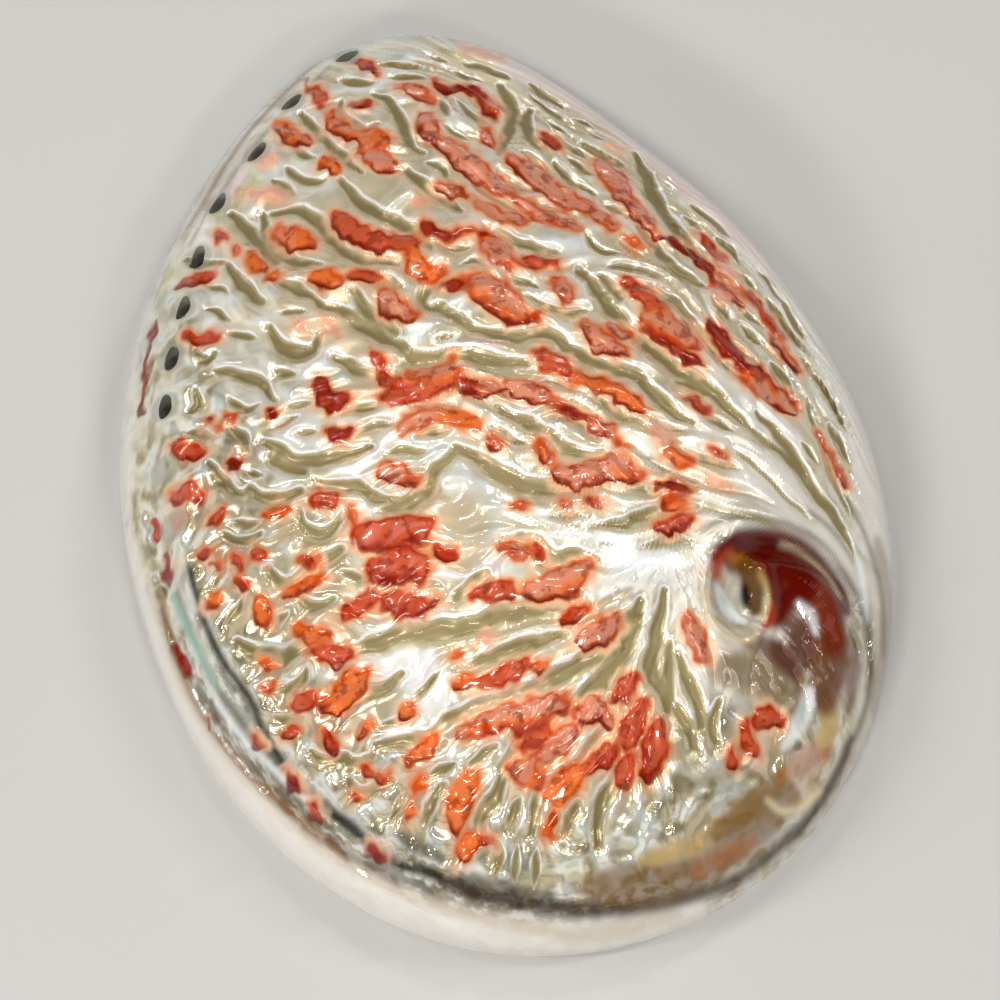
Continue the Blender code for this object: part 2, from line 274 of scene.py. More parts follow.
@dataclass(frozen=True)
class DomeForm:
    """The plain dome of the shell and its hollow, without relief. Lengths are in millimetres."""

    height: float = 46.0
    top: tuple[float, float] = (1.0, -8.0)
    rim_radii: tuple[float, ...] = (63.9, 63.4, 65.9, 74.0, 83.7, 79.0, 70.4, 65.3, 62.6,
                                    62.4, 65.5, 70.7, 76.7, 80.8, 81.5, 78.5, 72.6, 67.3)
    fullness: tuple[float, ...] = (2.0, 2.0, 1.95, 2.05, 2.1, 2.1, 2.3, 2.1)
    edge_power: tuple[float, ...] = (0.60, 0.68, 0.80, 0.70, 0.60, 0.56, 0.55, 0.60)
    wall: float = 3.8
    rim_lip: float = 2.6
    shelf_lip: float = 5.4
    shelf_turn: float = 30.0
    rim_samples: int = 1440

    def no_inset(self, angle: Array) -> Array:
        """Give the outer edge of the rim."""
        return np.zeros_like(angle)

    def lip_inset(self, angle: Array) -> Array:
        """Give the width of the rim: a thin outer lip and a broad shelf on the holes' side."""
        shelf = 0.5 - 0.5 * np.cos(angle - math.radians(self.shelf_turn))
        return self.rim_lip + (self.shelf_lip - self.rim_lip) * shelf ** 2

    def share(self, x: Array, y: Array, inset: Callable) -> tuple[Array, Array]:
        """Find how far a point lies from the dome's top on its way to the rim.

        Args:
            x: Places across.
            y: Places along.
            inset: How far the rim lies inside the outline at an angle.

        Returns:
            The share of the way, one at the rim, and the bearing from the top.
        """
        angle = np.linspace(0, TURN, self.rim_samples, endpoint=False)
        radius = around(self.rim_radii, angle) - inset(angle)
        across = radius * np.cos(angle) - self.top[0]
        along = radius * np.sin(angle) - self.top[1]
        turned = np.arctan2(along, across)
        order = np.argsort(turned)
        bearing = np.arctan2(y - self.top[1], x - self.top[0])
        reach = np.interp(bearing, turned[order], np.hypot(across, along)[order], period=TURN)
        return np.clip(np.hypot(x - self.top[0], y - self.top[1]) / reach, 0.0, 1.0), bearing

    def plain(self, x: Array, y: Array, height: float, inset: Callable) -> Array:
        """Give the height of the plain dome over a point."""
        share, bearing = self.share(x, y, inset)
        full = np.clip(1.0 - share ** around(self.fullness, bearing), 0.0, 1.0)
        return height * full ** around(self.edge_power, bearing)

    def outer(self, x: Array, y: Array) -> Array:
        """Give the height of the plain outside over a point."""
        return self.plain(x, y, self.height, self.no_inset)


@dataclass
class Canvas:
    """A fine raster over the shell on which strokes are laid. A stroke has the value one on its middle
    line, zero at its edge and less beyond it, and the strongest stroke counts."""

    low: tuple[float, float] = (-72.0, -90.0)
    high: tuple[float, float] = (72.0, 90.0)
    cell: float = 0.2
    reach: float = 3.0
    margin: float = 4.0
    lean_way: float = 235.0
    lean_soft: tuple[float, float] = (0.4, 0.6)
    lean_least: float = 0.02
    strength: Array = field(init=False)
    inset: Array = field(init=False)
    tone: Array = field(init=False)

    def __post_init__(self) -> None:
        """Lay out the empty raster."""
        self.nx = int(round((self.high[0] - self.low[0]) / self.cell)) + 1
        self.ny = int(round((self.high[1] - self.low[1]) / self.cell)) + 1
        self.xs = self.low[0] + self.cell * np.arange(self.nx)
        self.ys = self.low[1] + self.cell * np.arange(self.ny)
        self.strength = np.full((self.ny, self.nx), 1.0 - self.reach)
        self.inset = np.full((self.ny, self.nx), -self.margin)
        self.tone = np.zeros((self.ny, self.nx))

    def stroke(self, line: Array, widths: Array, tone: float = 0.0) -> None:
        """Lay one stroke.

        Args:
            line: Points of its middle line, close together, in millimetres.
            widths: Half of its width at each point, in millimetres.
            tone: A second value that is kept where this stroke is the strongest.
        """
        for (px, py), (qx, qy), first, last in zip(line, line[1:], widths, widths[1:]):
            widest = max(first, last)
            span = max(self.reach * widest, widest + self.margin)
            i0 = max(int((min(px, qx) - span - self.low[0]) / self.cell), 0)
            i1 = min(int((max(px, qx) + span - self.low[0]) / self.cell) + 2, self.nx)
            j0 = max(int((min(py, qy) - span - self.low[1]) / self.cell), 0)
            j1 = min(int((max(py, qy) + span - self.low[1]) / self.cell) + 2, self.ny)
            if i1 <= i0 or j1 <= j0:
                continue
            across, along = self.xs[None, i0:i1] - px, self.ys[j0:j1, None] - py
            dx, dy = qx - px, qy - py
            share = np.clip((across * dx + along * dy) / max(dx * dx + dy * dy, 1e-9), 0.0, 1.0)
            width = first + share * (last - first)
            gap = np.hypot(across - share * dx, along - share * dy)
            value = 1.0 - gap / width
            held = self.strength[j0:j1, i0:i1]
            stronger = value > held
            self.tone[j0:j1, i0:i1] = np.where(stronger, tone, self.tone[j0:j1, i0:i1])
            self.strength[j0:j1, i0:i1] = np.where(stronger, value, held)
            self.inset[j0:j1, i0:i1] = np.maximum(self.inset[j0:j1, i0:i1], width - gap)

    def soften(self, values: Array, spread: float) -> Array:
        """Blur a raster.

        Args:
            values: The raster.
            spread: Reach of the blur in millimetres.

        Returns:
            The blurred raster.
        """
        across = np.fft.fftfreq(self.nx, self.cell)
        along = np.fft.fftfreq(self.ny, self.cell)
        keep = np.exp(-2 * (math.pi * spread) ** 2 * (across[None, :] ** 2 + along[:, None] ** 2))
        return np.fft.ifft2(np.fft.fft2(values) * keep).real

    def leaning(self, values: Array) -> Array:
        """Tell on which side of the strokes a place lies.

        Args:
            values: The raster.

        Returns:
            A raster from minus one to one.
        """
        before, after = self.lean_soft
        heading = math.radians(self.lean_way)
        rise_y, rise_x = np.gradient(self.soften(values, before))
        size = np.maximum(np.hypot(rise_x, rise_y), self.lean_least)
        return self.soften(-(rise_x * math.cos(heading) + rise_y * math.sin(heading)) / size, after)

    def cleared(self) -> None:
        """Wipe the strokes, so that the next one stands alone."""
        self.strength.fill(1.0 - self.reach)

    def read(self, values: Array, x: Array, y: Array) -> Array:
        """Read a raster between its cells.

        Args:
            values: The raster.
            x: Places across.
            y: Places along.

        Returns:
            The value at each place.
        """
        fx = np.clip((x - self.low[0]) / self.cell, 0, self.nx - 1.001)
        fy = np.clip((y - self.low[1]) / self.cell, 0, self.ny - 1.001)
        i, j = fx.astype(int), fy.astype(int)
        tx, ty = fx - i, fy - j
        top = values[j, i] * (1 - tx) + values[j, i + 1] * tx
        bottom = values[j + 1, i] * (1 - tx) + values[j + 1, i + 1] * tx
        return top * (1 - ty) + bottom * ty


class Tone(Enum):
    """Colour that the inside of a patch has."""

    DARK = 0.0
    RED = 0.25
    ORANGE = 0.5
    SALMON = 0.75
    FAINT = 1.0


class Tint(Enum):
    """Colours of the smooth places between the patches, as display values. The near-black and moss strokes
    are mostly painted shade, the white pearl and teal strokes mostly painted highlights and glints.
    """

    MAROON = (82, 4, 0)
    CRIMSON = (92, 9, 0)
    RUST = (112, 40, 20)
    FLAME = (162, 44, 4)
    PLUM = (92, 52, 40)
    UMBER = (104, 62, 34)
    OLIVE = (92, 58, 2)
    AMBER = (156, 92, 12)
    # Painted shade: near black for the groove lines, the pit's depth and dark reflections at the bottom.
    PITCH = (18, 13, 5)
    CREAM = (226, 206, 166)
    # Painted highlights and glints in white; a few strokes are the pale nacre's own white.
    PEARL = (242, 244, 244)
    BLUSH = (236, 208, 200)
    MILK = (234, 228, 220)
    HAZE = (176, 168, 144)
    TAUPE = (126, 102, 66)
    KHAKI = (108, 72, 26)
    SAND = (182, 156, 114)
    GOLD = (190, 158, 84)
    COPPER = (160, 92, 40)
    BARK = (58, 40, 24)
    # Painted shade, moss-coloured, in grooves, fold troughs, the suture and dark reflections.
    MOSS = (84, 78, 52)
    # Painted glints tinted teal; a few strokes are teal hints of the nacre's own play of colour.
    TEAL = (128, 176, 162)
    LILAC = (206, 196, 214)
    SILVER = (206, 206, 200)


# Strokes of tint, laid in order. Near-black and moss strokes paint shade, white pearl and teal strokes paint
# highlights and glints.
TINTS: tuple[tuple[Tint, float, float, Spots], ...] = (
    (Tint.MILK, 0.8, 22, ((470, 46), (540, 78), (610, 118), (680, 174), (740, 236), (788, 296), (830, 360),
        (862, 440), (880, 520), (886, 600), (882, 680), (864, 748))),
    (Tint.BLUSH, 0.35, 26, ((480, 52), (580, 100), (650, 150), (720, 215), (770, 270))),
    (Tint.BLUSH, 0.35, 20, ((540, 78), (610, 118), (680, 174), (740, 236))),
    (Tint.MILK, 0.6, 26, ((700, 420), (760, 470), (820, 530), (850, 580))),
    (Tint.MILK, 0.6, 20, ((640, 300), (700, 345), (760, 410), (800, 450))),
    (Tint.HAZE, 0.35, 20, ((876, 560), (884, 620), (880, 680), (860, 750), (830, 800))),
    (Tint.HAZE, 0.35, 16, ((884, 620), (880, 680), (860, 750), (830, 800))),
    (Tint.PEARL, 0.35, 30, ((204, 236), (216, 290), (238, 330), (246, 372), (228, 400))),
    (Tint.PEARL, 0.4, 20, ((262, 168), (300, 176), (330, 182))),
    (Tint.TEAL, 0.35, 6, ((234, 262), (250, 280), (264, 292))),
    (Tint.TEAL, 0.3, 5, ((214, 396), (236, 408), (256, 404))),
    (Tint.MOSS, 0.6, 2.6, ((204, 374), (224, 371), (240, 376), (258, 381))),
    (Tint.MOSS, 0.6, 2.6, ((210, 390), (228, 397), (246, 395))),
    (Tint.MOSS, 0.6, 2.4, ((234, 404), (250, 411), (264, 421))),
    (Tint.MOSS, 0.5, 2.4, ((216, 432), (232, 441), (250, 438))),
    (Tint.MOSS, 0.5, 2.4, ((196, 452), (214, 458), (226, 470))),
    (Tint.PEARL, 0.6, 12, ((346, 78), (360, 86), (392, 74), (410, 58))),
    (Tint.CREAM, 0.7, 14, ((440, 56), (474, 66), (504, 84), (524, 108))),
    (Tint.CREAM, 0.4, 26, ((240, 318), (280, 316), (316, 322), (350, 342))),
    (Tint.PEARL, 0.5, 8, ((252, 322), (268, 314), (286, 318))),
    (Tint.SILVER, 0.7, 22, ((262, 400), (290, 410), (300, 440), (286, 470))),
    (Tint.SILVER, 0.5, 26, ((436, 446), (470, 470), (486, 510), (462, 548))),
    (Tint.SAND, 0.7, 26, ((286, 520), (330, 556), (326, 600))),
    (Tint.SAND, 0.6, 22, ((436, 500), (470, 520), (460, 560))),
    (Tint.TAUPE, 0.4, 22, ((296, 512), (330, 556), (322, 600))),
    (Tint.TAUPE, 0.35, 14, ((246, 596), (270, 606), (296, 616))),
    # Painted shade along the left edge by the filled holes.
    (Tint.TAUPE, 0.4, 14, ((148, 590), (160, 640), (176, 684))),
    (Tint.TAUPE, 0.45, 24, ((704, 704), (740, 732), (776, 744))),
    (Tint.MOSS, 0.45, 8, ((226, 700), (262, 752), (300, 796))),
    (Tint.PEARL, 0.6, 22, ((360, 660), (402, 662), (430, 690), (398, 728))),
    (Tint.PEARL, 0.8, 14, ((602, 560), (640, 556), (680, 562))),
    (Tint.SILVER, 0.6, 12, ((612, 580), (648, 576), (690, 584))),
    (Tint.LILAC, 0.45, 7, ((186, 214), (162, 264), (147, 312), (134, 380))),
    (Tint.RUST, 0.75, 3.5, ((322, 56), (296, 82), (268, 111), (245, 137), (221, 173), (202, 206),
        (188, 228))),
    (Tint.BARK, 0.6, 2.5, ((330, 66), (304, 92), (276, 122), (252, 150), (226, 186), (206, 216),
        (188, 250))),
    (Tint.MILK, 0.9, 16, ((124, 540), (136, 610), (158, 672), (196, 742), (262, 818), (336, 876), (424, 918),
        (520, 942), (620, 940), (700, 916))),
    (Tint.MILK, 0.8, 12, ((142, 290), (130, 360), (122, 440), (124, 520))),
    (Tint.SAND, 0.4, 5, ((158, 600), (180, 676), (216, 742), (262, 795), (326, 852), (410, 896), (500, 922),
        (590, 934), (680, 914))),
    (Tint.COPPER, 0.7, 2, ((164, 600), (176, 650), (200, 712), (238, 762), (290, 812), (350, 862))),
    (Tint.BARK, 0.7, 1.5, ((160, 610), (178, 668), (212, 732), (258, 786), (320, 840), (398, 886))),
    (Tint.SILVER, 0.5, 8, ((174, 572), (194, 630), (214, 676), (240, 716), (268, 750), (302, 784),
        (340, 816), (376, 846), (412, 874))),
    (Tint.MOSS, 0.9, 3, ((176, 590), (194, 640), (212, 680), (240, 720), (266, 752), (298, 786), (334, 818),
        (370, 846), (404, 872))),
    (Tint.PITCH, 0.98, 4, ((188, 566), (206, 626), (227, 668), (249, 698), (263, 730), (277, 751),
        (299, 783), (320, 801), (349, 823), (370, 844), (391, 858), (420, 871), (450, 882))),
    (Tint.TEAL, 0.9, 3, ((172, 594), (188, 632), (204, 664), (216, 690))),
    (Tint.PEARL, 0.9, 2.5, ((214, 700), (236, 732), (258, 756), (286, 782), (314, 806))),
    (Tint.OLIVE, 0.8, 2, ((156, 590), (178, 650), (204, 702), (240, 752), (284, 798), (340, 846),
        (400, 882))),
    (Tint.PITCH, 0.7, 8, ((398, 836), (420, 848), (442, 860))),
    (Tint.PITCH, 0.75, 9, ((450, 872), (480, 886), (515, 894), (552, 898))),
    (Tint.MOSS, 0.75, 11, ((486, 850), (506, 862), (530, 868))),
    (Tint.MOSS, 0.6, 7, ((430, 822), (440, 836), (452, 846))),
    (Tint.PEARL, 0.8, 4, ((466, 874), (474, 866), (486, 872))),
    (Tint.BARK, 0.9, 5, ((440, 884), (480, 896), (530, 906), (590, 912), (650, 906), (700, 894), (742, 876),
        (778, 848), (812, 814), (838, 772), (852, 736))),
    (Tint.KHAKI, 0.8, 18, ((590, 888), (656, 880), (706, 858), (752, 830), (790, 794))),
    (Tint.SAND, 0.7, 10, ((650, 858), (690, 846), (720, 832))),
    (Tint.GOLD, 0.5, 12, ((716, 828), (748, 808), (776, 786))),
    (Tint.COPPER, 0.6, 8, ((694, 872), (722, 858), (752, 842))),
    (Tint.GOLD, 0.6, 7, ((640, 862), (672, 852), (700, 842))),
    (Tint.AMBER, 0.4, 8, ((790, 800), (812, 776), (828, 752))),
    (Tint.KHAKI, 0.5, 8, ((878, 540), (887, 600), (884, 660), (874, 716))),
    (Tint.KHAKI, 0.7, 12, ((716, 834), (752, 806), (782, 778))),
    (Tint.COPPER, 0.7, 10, ((780, 778), (797, 767), (813, 756), (829, 742))),
    (Tint.CREAM, 0.9, 3, ((766, 800), (784, 812), (804, 806), (822, 788))),
    (Tint.GOLD, 0.9, 11, ((821, 742), (829, 726), (835, 704))),
    (Tint.MOSS, 0.7, 3.5, ((790, 500), (828, 526), (856, 566), (868, 610), (872, 680))),
    (Tint.MOSS, 0.7, 3, ((846, 496), (868, 545), (882, 600), (884, 660))),
    (Tint.PEARL, 0.9, 3, ((828, 506), (852, 546), (864, 590), (866, 626))),
    (Tint.UMBER, 0.95, 26, ((800, 586), (822, 620), (830, 660), (822, 700))),
    (Tint.TAUPE, 0.85, 30, ((728, 672), (756, 676), (786, 694), (770, 716))),
    (Tint.MOSS, 0.6, 12, ((690, 716), (714, 724), (730, 712))),
    (Tint.PLUM, 0.8, 14, ((752, 642), (776, 652), (796, 676))),
    (Tint.RUST, 0.95, 20, ((752, 562), (786, 568), (816, 588), (830, 616), (834, 646))),
    (Tint.PEARL, 0.7, 8, ((809, 690), (806, 712), (796, 729), (784, 748))),
    (Tint.TEAL, 0.6, 4, ((805, 704), (800, 722))),
    (Tint.PLUM, 0.9, 17, ((786, 618), (800, 640), (796, 662), (778, 650))),
    (Tint.CRIMSON, 0.98, 18, ((742, 555), (764, 556), (788, 566), (804, 584), (790, 600))),
    (Tint.CRIMSON, 0.98, 11, ((768, 566), (776, 586), (780, 606), (774, 622))),
    (Tint.PEARL, 0.6, 5, ((798, 604), (811, 616), (816, 634))),
    (Tint.UMBER, 0.85, 6, ((852, 640), (856, 660), (853, 684), (848, 712))),
    (Tint.MAROON, 0.98, 10, ((712, 564), (723, 551), (751, 540), (784, 543), (807, 555), (823, 571),
        (839, 590), (847, 612))),
    (Tint.CREAM, 0.7, 2, ((779, 545), (796, 550), (818, 567), (832, 583), (841, 599))),
    (Tint.FLAME, 0.9, 6, ((715, 583), (718, 566), (731, 552))),
    # The pit's right inner wall: its own golden-brown, darkened as painted shade.
    (Tint.OLIVE, 0.97, 12, ((731, 566), (745, 568), (754, 586), (756, 610))),
    # Painted shade: the pit's near-black depth.
    (Tint.AMBER, 0.8, 5, ((729, 560), (742, 557))), (Tint.PITCH, 0.98, 7, ((744, 588), (746, 604))),
    # Painted highlight: the pale, lit left wall of the pit.
    (Tint.PEARL, 0.98, 8, ((718, 588), (723, 604), (732, 616), (744, 622))),
    (Tint.TEAL, 0.5, 3, ((722, 596), (728, 606))),
    (Tint.GOLD, 0.8, 2, ((758, 571), (766, 587), (769, 604), (764, 622))),
    (Tint.CREAM, 0.9, 3.5, ((706, 586), (709, 612), (720, 632), (734, 640), (750, 639), (758, 632))),
    (Tint.FLAME, 0.9, 5, ((761, 630), (770, 621), (773, 606))),
    (Tint.MOSS, 0.8, 3, ((700, 530), (724, 520), (752, 518), (786, 524), (822, 544), (850, 582), (864, 622),
        (870, 660), (867, 702), (854, 742))),
    (Tint.BLUSH, 0.7, 7, ((694, 574), (708, 562))),
)

CUTS: tuple[tuple[float, float, Spots], ...] = (
    (-0.9, 7, ((188, 572), (206, 629), (227, 672), (249, 701), (263, 733), (277, 754), (299, 786),
        (320, 804), (349, 826), (370, 847), (391, 861), (420, 874))),
    (0.8, 7, ((159, 586), (181, 633), (206, 686), (224, 719), (252, 754), (281, 783), (309, 804), (334, 829),
        (363, 854), (391, 872), (430, 890))),
    (-0.5, 5, ((170, 620), (192, 680), (214, 726), (244, 765), (276, 795), (306, 820), (336, 846),
        (380, 878))),
    (0.5, 5, ((186, 600), (196, 630), (212, 662))),
    (0.45, 5, ((722, 508), (756, 512), (790, 524), (824, 548), (850, 584), (866, 630), (872, 690))),
    (-0.45, 4, ((740, 500), (780, 506), (816, 526), (846, 560), (866, 600), (878, 650), (880, 710))),
    (0.4, 4, ((760, 478), (800, 492), (836, 520), (862, 560), (880, 610), (884, 660))),
    (-0.4, 4, ((826, 490), (848, 524), (866, 566), (880, 600))),
    (0.4, 5, ((838, 470), (860, 510), (874, 556), (886, 596))),
    (0.3, 5, ((779, 545), (797, 550), (815, 560), (832, 577), (846, 600))),
    (0.6, 5, ((800, 600), (812, 622), (820, 645), (822, 668))),
    (-0.5, 5, ((800, 640), (808, 668), (806, 694))), (0.5, 5, ((770, 668), (776, 684), (784, 700))),
    (-0.5, 6, ((760, 640), (752, 664), (750, 690))), (0.6, 6, ((724, 660), (736, 674), (742, 692))),
    (-0.6, 6, ((700, 620), (712, 656), (716, 690))), (0.6, 6, ((800, 690), (794, 716), (786, 740))),
    (-0.5, 5, ((782, 706), (774, 736), (760, 764))), (0.5, 6, ((746, 776), (762, 790), (786, 786))),
    (0.5, 5, ((690, 756), (700, 772), (716, 786))), (-0.6, 6, ((706, 744), (724, 762), (744, 760))),
    (0.6, 6, ((620, 800), (640, 812), (664, 806))), (-0.6, 6, ((628, 826), (652, 832), (676, 820))),
    (0.6, 6, ((660, 790), (682, 800), (700, 818))), (-0.6, 6, ((560, 850), (580, 842), (600, 848))),
    (0.6, 6, ((520, 850), (540, 862), (560, 868))), (0.5, 6, ((600, 866), (626, 862), (648, 850))),
    (0.5, 6, ((212, 310), (232, 318), (252, 312), (272, 318))),
    (-0.5, 6, ((210, 336), (228, 344), (246, 340), (262, 350))),
    (0.5, 6, ((216, 382), (236, 388), (256, 396))),
    (-0.7, 7, ((204, 374), (224, 371), (240, 376), (258, 381))),
    (-0.7, 7, ((234, 404), (250, 411), (264, 421))),
    (0.5, 6, ((252, 176), (276, 184), (300, 182), (322, 192))),
    (-0.5, 6, ((250, 164), (272, 172), (292, 170))), (0.5, 6, ((340, 74), (358, 78), (374, 88))),
    (0.5, 6, ((300, 386), (288, 398), (300, 416))), (-0.5, 6, ((280, 372), (268, 388), (280, 404))),
    (0.5, 6, ((216, 440), (234, 448), (250, 444))), (-0.6, 6, ((490, 846), (500, 862), (516, 872))),
    (0.6, 6, ((420, 800), (430, 812), (446, 816))), (0.6, 6, ((430, 836), (446, 846), (462, 846))),
    (-0.6, 6, ((404, 826), (420, 838), (432, 852))),
)

CHANNELS: tuple[tuple[float, Spots], ...] = (
    (5, ((300, 112), (312, 127), (330, 145), (348, 160), (362, 172))),
    (6, ((340, 178), (355, 195), (375, 212), (397, 220), (420, 235), (432, 248))),
    (5, ((340, 100), (340, 112), (350, 122), (364, 127), (378, 123))),
    (5, ((372, 92), (390, 102), (400, 118), (405, 133), (413, 148), (425, 152))),
    (6, ((262, 212), (266, 225), (273, 240), (284, 253), (300, 262), (322, 262))),
    (7, ((230, 214), (243, 224), (254, 237), (264, 250), (274, 262))),
    (6, ((272, 212), (295, 210), (312, 215), (328, 232), (345, 252), (372, 259), (400, 262))),
    (7, ((228, 264), (240, 280), (250, 292), (262, 302))),
    (7, ((352, 288), (362, 302), (378, 317), (398, 330))),
    (5, ((405, 166), (414, 176), (428, 188), (444, 197), (462, 210))),
    (4, ((452, 157), (468, 172), (484, 188), (500, 198), (520, 210), (545, 222))),
    (5, ((436, 238), (450, 246), (468, 246))), (6, ((498, 230), (515, 240), (536, 248), (558, 252))),
    (8, ((500, 84), (509, 100), (512, 118), (506, 134), (497, 152))),
    (6, ((530, 108), (526, 124), (531, 138), (542, 146))),
    (5, ((272, 277), (290, 284), (305, 292), (320, 300))), (9, ((440, 305), (458, 318), (472, 326))),
    (6, ((472, 326), (492, 332), (520, 335), (540, 331), (556, 337), (572, 348), (600, 363), (622, 369),
        (642, 380), (656, 396), (674, 411), (694, 424))),
    (5, ((555, 160), (562, 172), (574, 184), (596, 194))),
    (7, ((633, 152), (646, 176), (656, 200), (669, 220), (686, 240), (697, 256))),
    (5, ((640, 225), (652, 240), (663, 256), (680, 270), (704, 286))),
    (7, ((578, 268), (592, 284), (606, 300), (620, 318), (636, 334), (656, 350), (680, 368), (704, 383),
        (724, 402), (742, 420))),
    (7, ((602, 276), (614, 286), (622, 298))),
    (4, ((652, 286), (676, 302), (690, 317), (702, 335), (716, 352), (732, 369), (748, 378))),
    (3, ((704, 384), (728, 408), (750, 428), (772, 446), (790, 461), (805, 480), (828, 510), (846, 536),
        (855, 560))),
    (5, ((756, 412), (772, 428), (788, 446), (800, 466), (812, 488), (830, 508), (844, 528))),
    (2.5, ((730, 444), (745, 456), (760, 471), (776, 486), (790, 500), (812, 520))),
    (2.5, ((804, 396), (816, 428), (828, 460), (840, 495), (850, 520))),
    (3, ((735, 300), (750, 316), (764, 328))), (4, ((716, 236), (728, 246), (740, 262))),
    (5, ((676, 381), (692, 384), (704, 392))), (5, ((597, 397), (610, 406), (628, 418), (644, 424))),
    (3, ((650, 461), (670, 471), (690, 479), (708, 483))),
    (7, ((382, 340), (398, 344), (414, 356), (436, 358), (458, 352), (476, 356), (500, 360), (530, 362))),
    (6, ((497, 407), (512, 416), (530, 422), (550, 436), (566, 446), (584, 452), (604, 452))),
    (8, ((456, 446), (476, 456), (494, 470), (514, 480), (540, 488), (572, 486), (600, 481))),
    (7, ((455, 452), (436, 468), (424, 488), (408, 503), (382, 510))),
    (5, ((592, 525), (612, 524), (634, 518), (655, 511), (676, 506), (700, 505))),
    (4, ((640, 548), (656, 543), (674, 539), (696, 540))),
    (6, ((262, 440), (280, 449), (300, 459), (320, 458), (345, 452), (372, 446))),
    (7, ((270, 456), (286, 466), (304, 472))),
    (5, ((310, 478), (332, 486), (356, 484), (376, 496), (396, 500))),
    (7, ((248, 488), (264, 498), (280, 498), (300, 490))),
    (7, ((268, 326), (280, 342), (298, 352), (314, 346), (320, 330))),
    (7, ((320, 302), (345, 312), (365, 325), (386, 338), (404, 346))),
    (7, ((335, 356), (352, 366), (374, 374), (396, 372))),
    (6, ((298, 510), (302, 526), (318, 534), (334, 528), (342, 512))),
    (8, ((268, 570), (284, 584), (300, 580), (322, 560), (342, 548))),
    (7, ((296, 596), (312, 606), (334, 598))),
    (8, ((236, 642), (256, 652), (280, 657), (300, 648), (326, 638))),
    (8, ((338, 652), (360, 648), (384, 640), (404, 634), (430, 630), (455, 628), (480, 622), (505, 614),
        (530, 608), (556, 604), (584, 600))),
    (8, ((322, 712), (345, 702), (366, 694), (384, 686), (402, 674))),
    (7, ((376, 746), (390, 740), (404, 742), (430, 738), (450, 720), (474, 708), (498, 702), (522, 694),
        (548, 680), (574, 666), (598, 652), (616, 636), (632, 612))),
    (6, ((336, 752), (354, 762), (372, 756))), (8, ((486, 574), (472, 584), (456, 596))),
    (8, ((598, 560), (574, 554), (552, 560), (530, 538), (506, 540))),
    (6, ((566, 634), (546, 638), (526, 644), (500, 654), (476, 662), (456, 668))),
    (8, ((642, 600), (634, 622), (622, 652), (606, 676), (590, 692), (576, 706), (556, 722), (534, 738),
        (514, 752), (500, 768))),
    (6, ((664, 588), (660, 612), (655, 640), (650, 668), (662, 690), (668, 716))),
    (6, ((610, 698), (618, 712), (612, 726), (600, 736), (590, 748), (582, 762), (560, 776), (546, 788))),
    (6, ((496, 744), (482, 756), (468, 770))),
    (7, ((626, 728), (618, 744), (622, 762), (614, 782), (602, 800), (598, 822), (598, 846))),
    (6, ((546, 782), (538, 796), (534, 812), (530, 834))), (6, ((578, 800), (570, 816), (562, 832))),
    (7, ((508, 766), (500, 784), (492, 802), (480, 818), (482, 838))),
    (7, ((442, 786), (432, 802), (426, 820))), (7, ((392, 778), (376, 788), (360, 792), (350, 780))),
    (7, ((312, 752), (328, 762), (346, 754))), (6, ((678, 652), (688, 678), (698, 704), (702, 730))),
    (9, ((676, 706), (688, 728), (696, 748))), (6, ((670, 640), (668, 668), (672, 700))),
    (7, ((720, 700), (712, 720), (716, 740))), (6, ((446, 262), (420, 300), (436, 310))),
    (6, ((230, 425), (244, 436), (246, 450))), (5, ((214, 370), (236, 372), (258, 380), (276, 400))),
    (6, ((196, 390), (200, 402), (190, 412))), (5, ((208, 460), (222, 480), (242, 494))),
    (5, ((222, 535), (244, 540), (262, 534))), (6, ((196, 350), (204, 362), (214, 352))),
    (6, ((186, 258), (200, 262), (222, 262))),
)

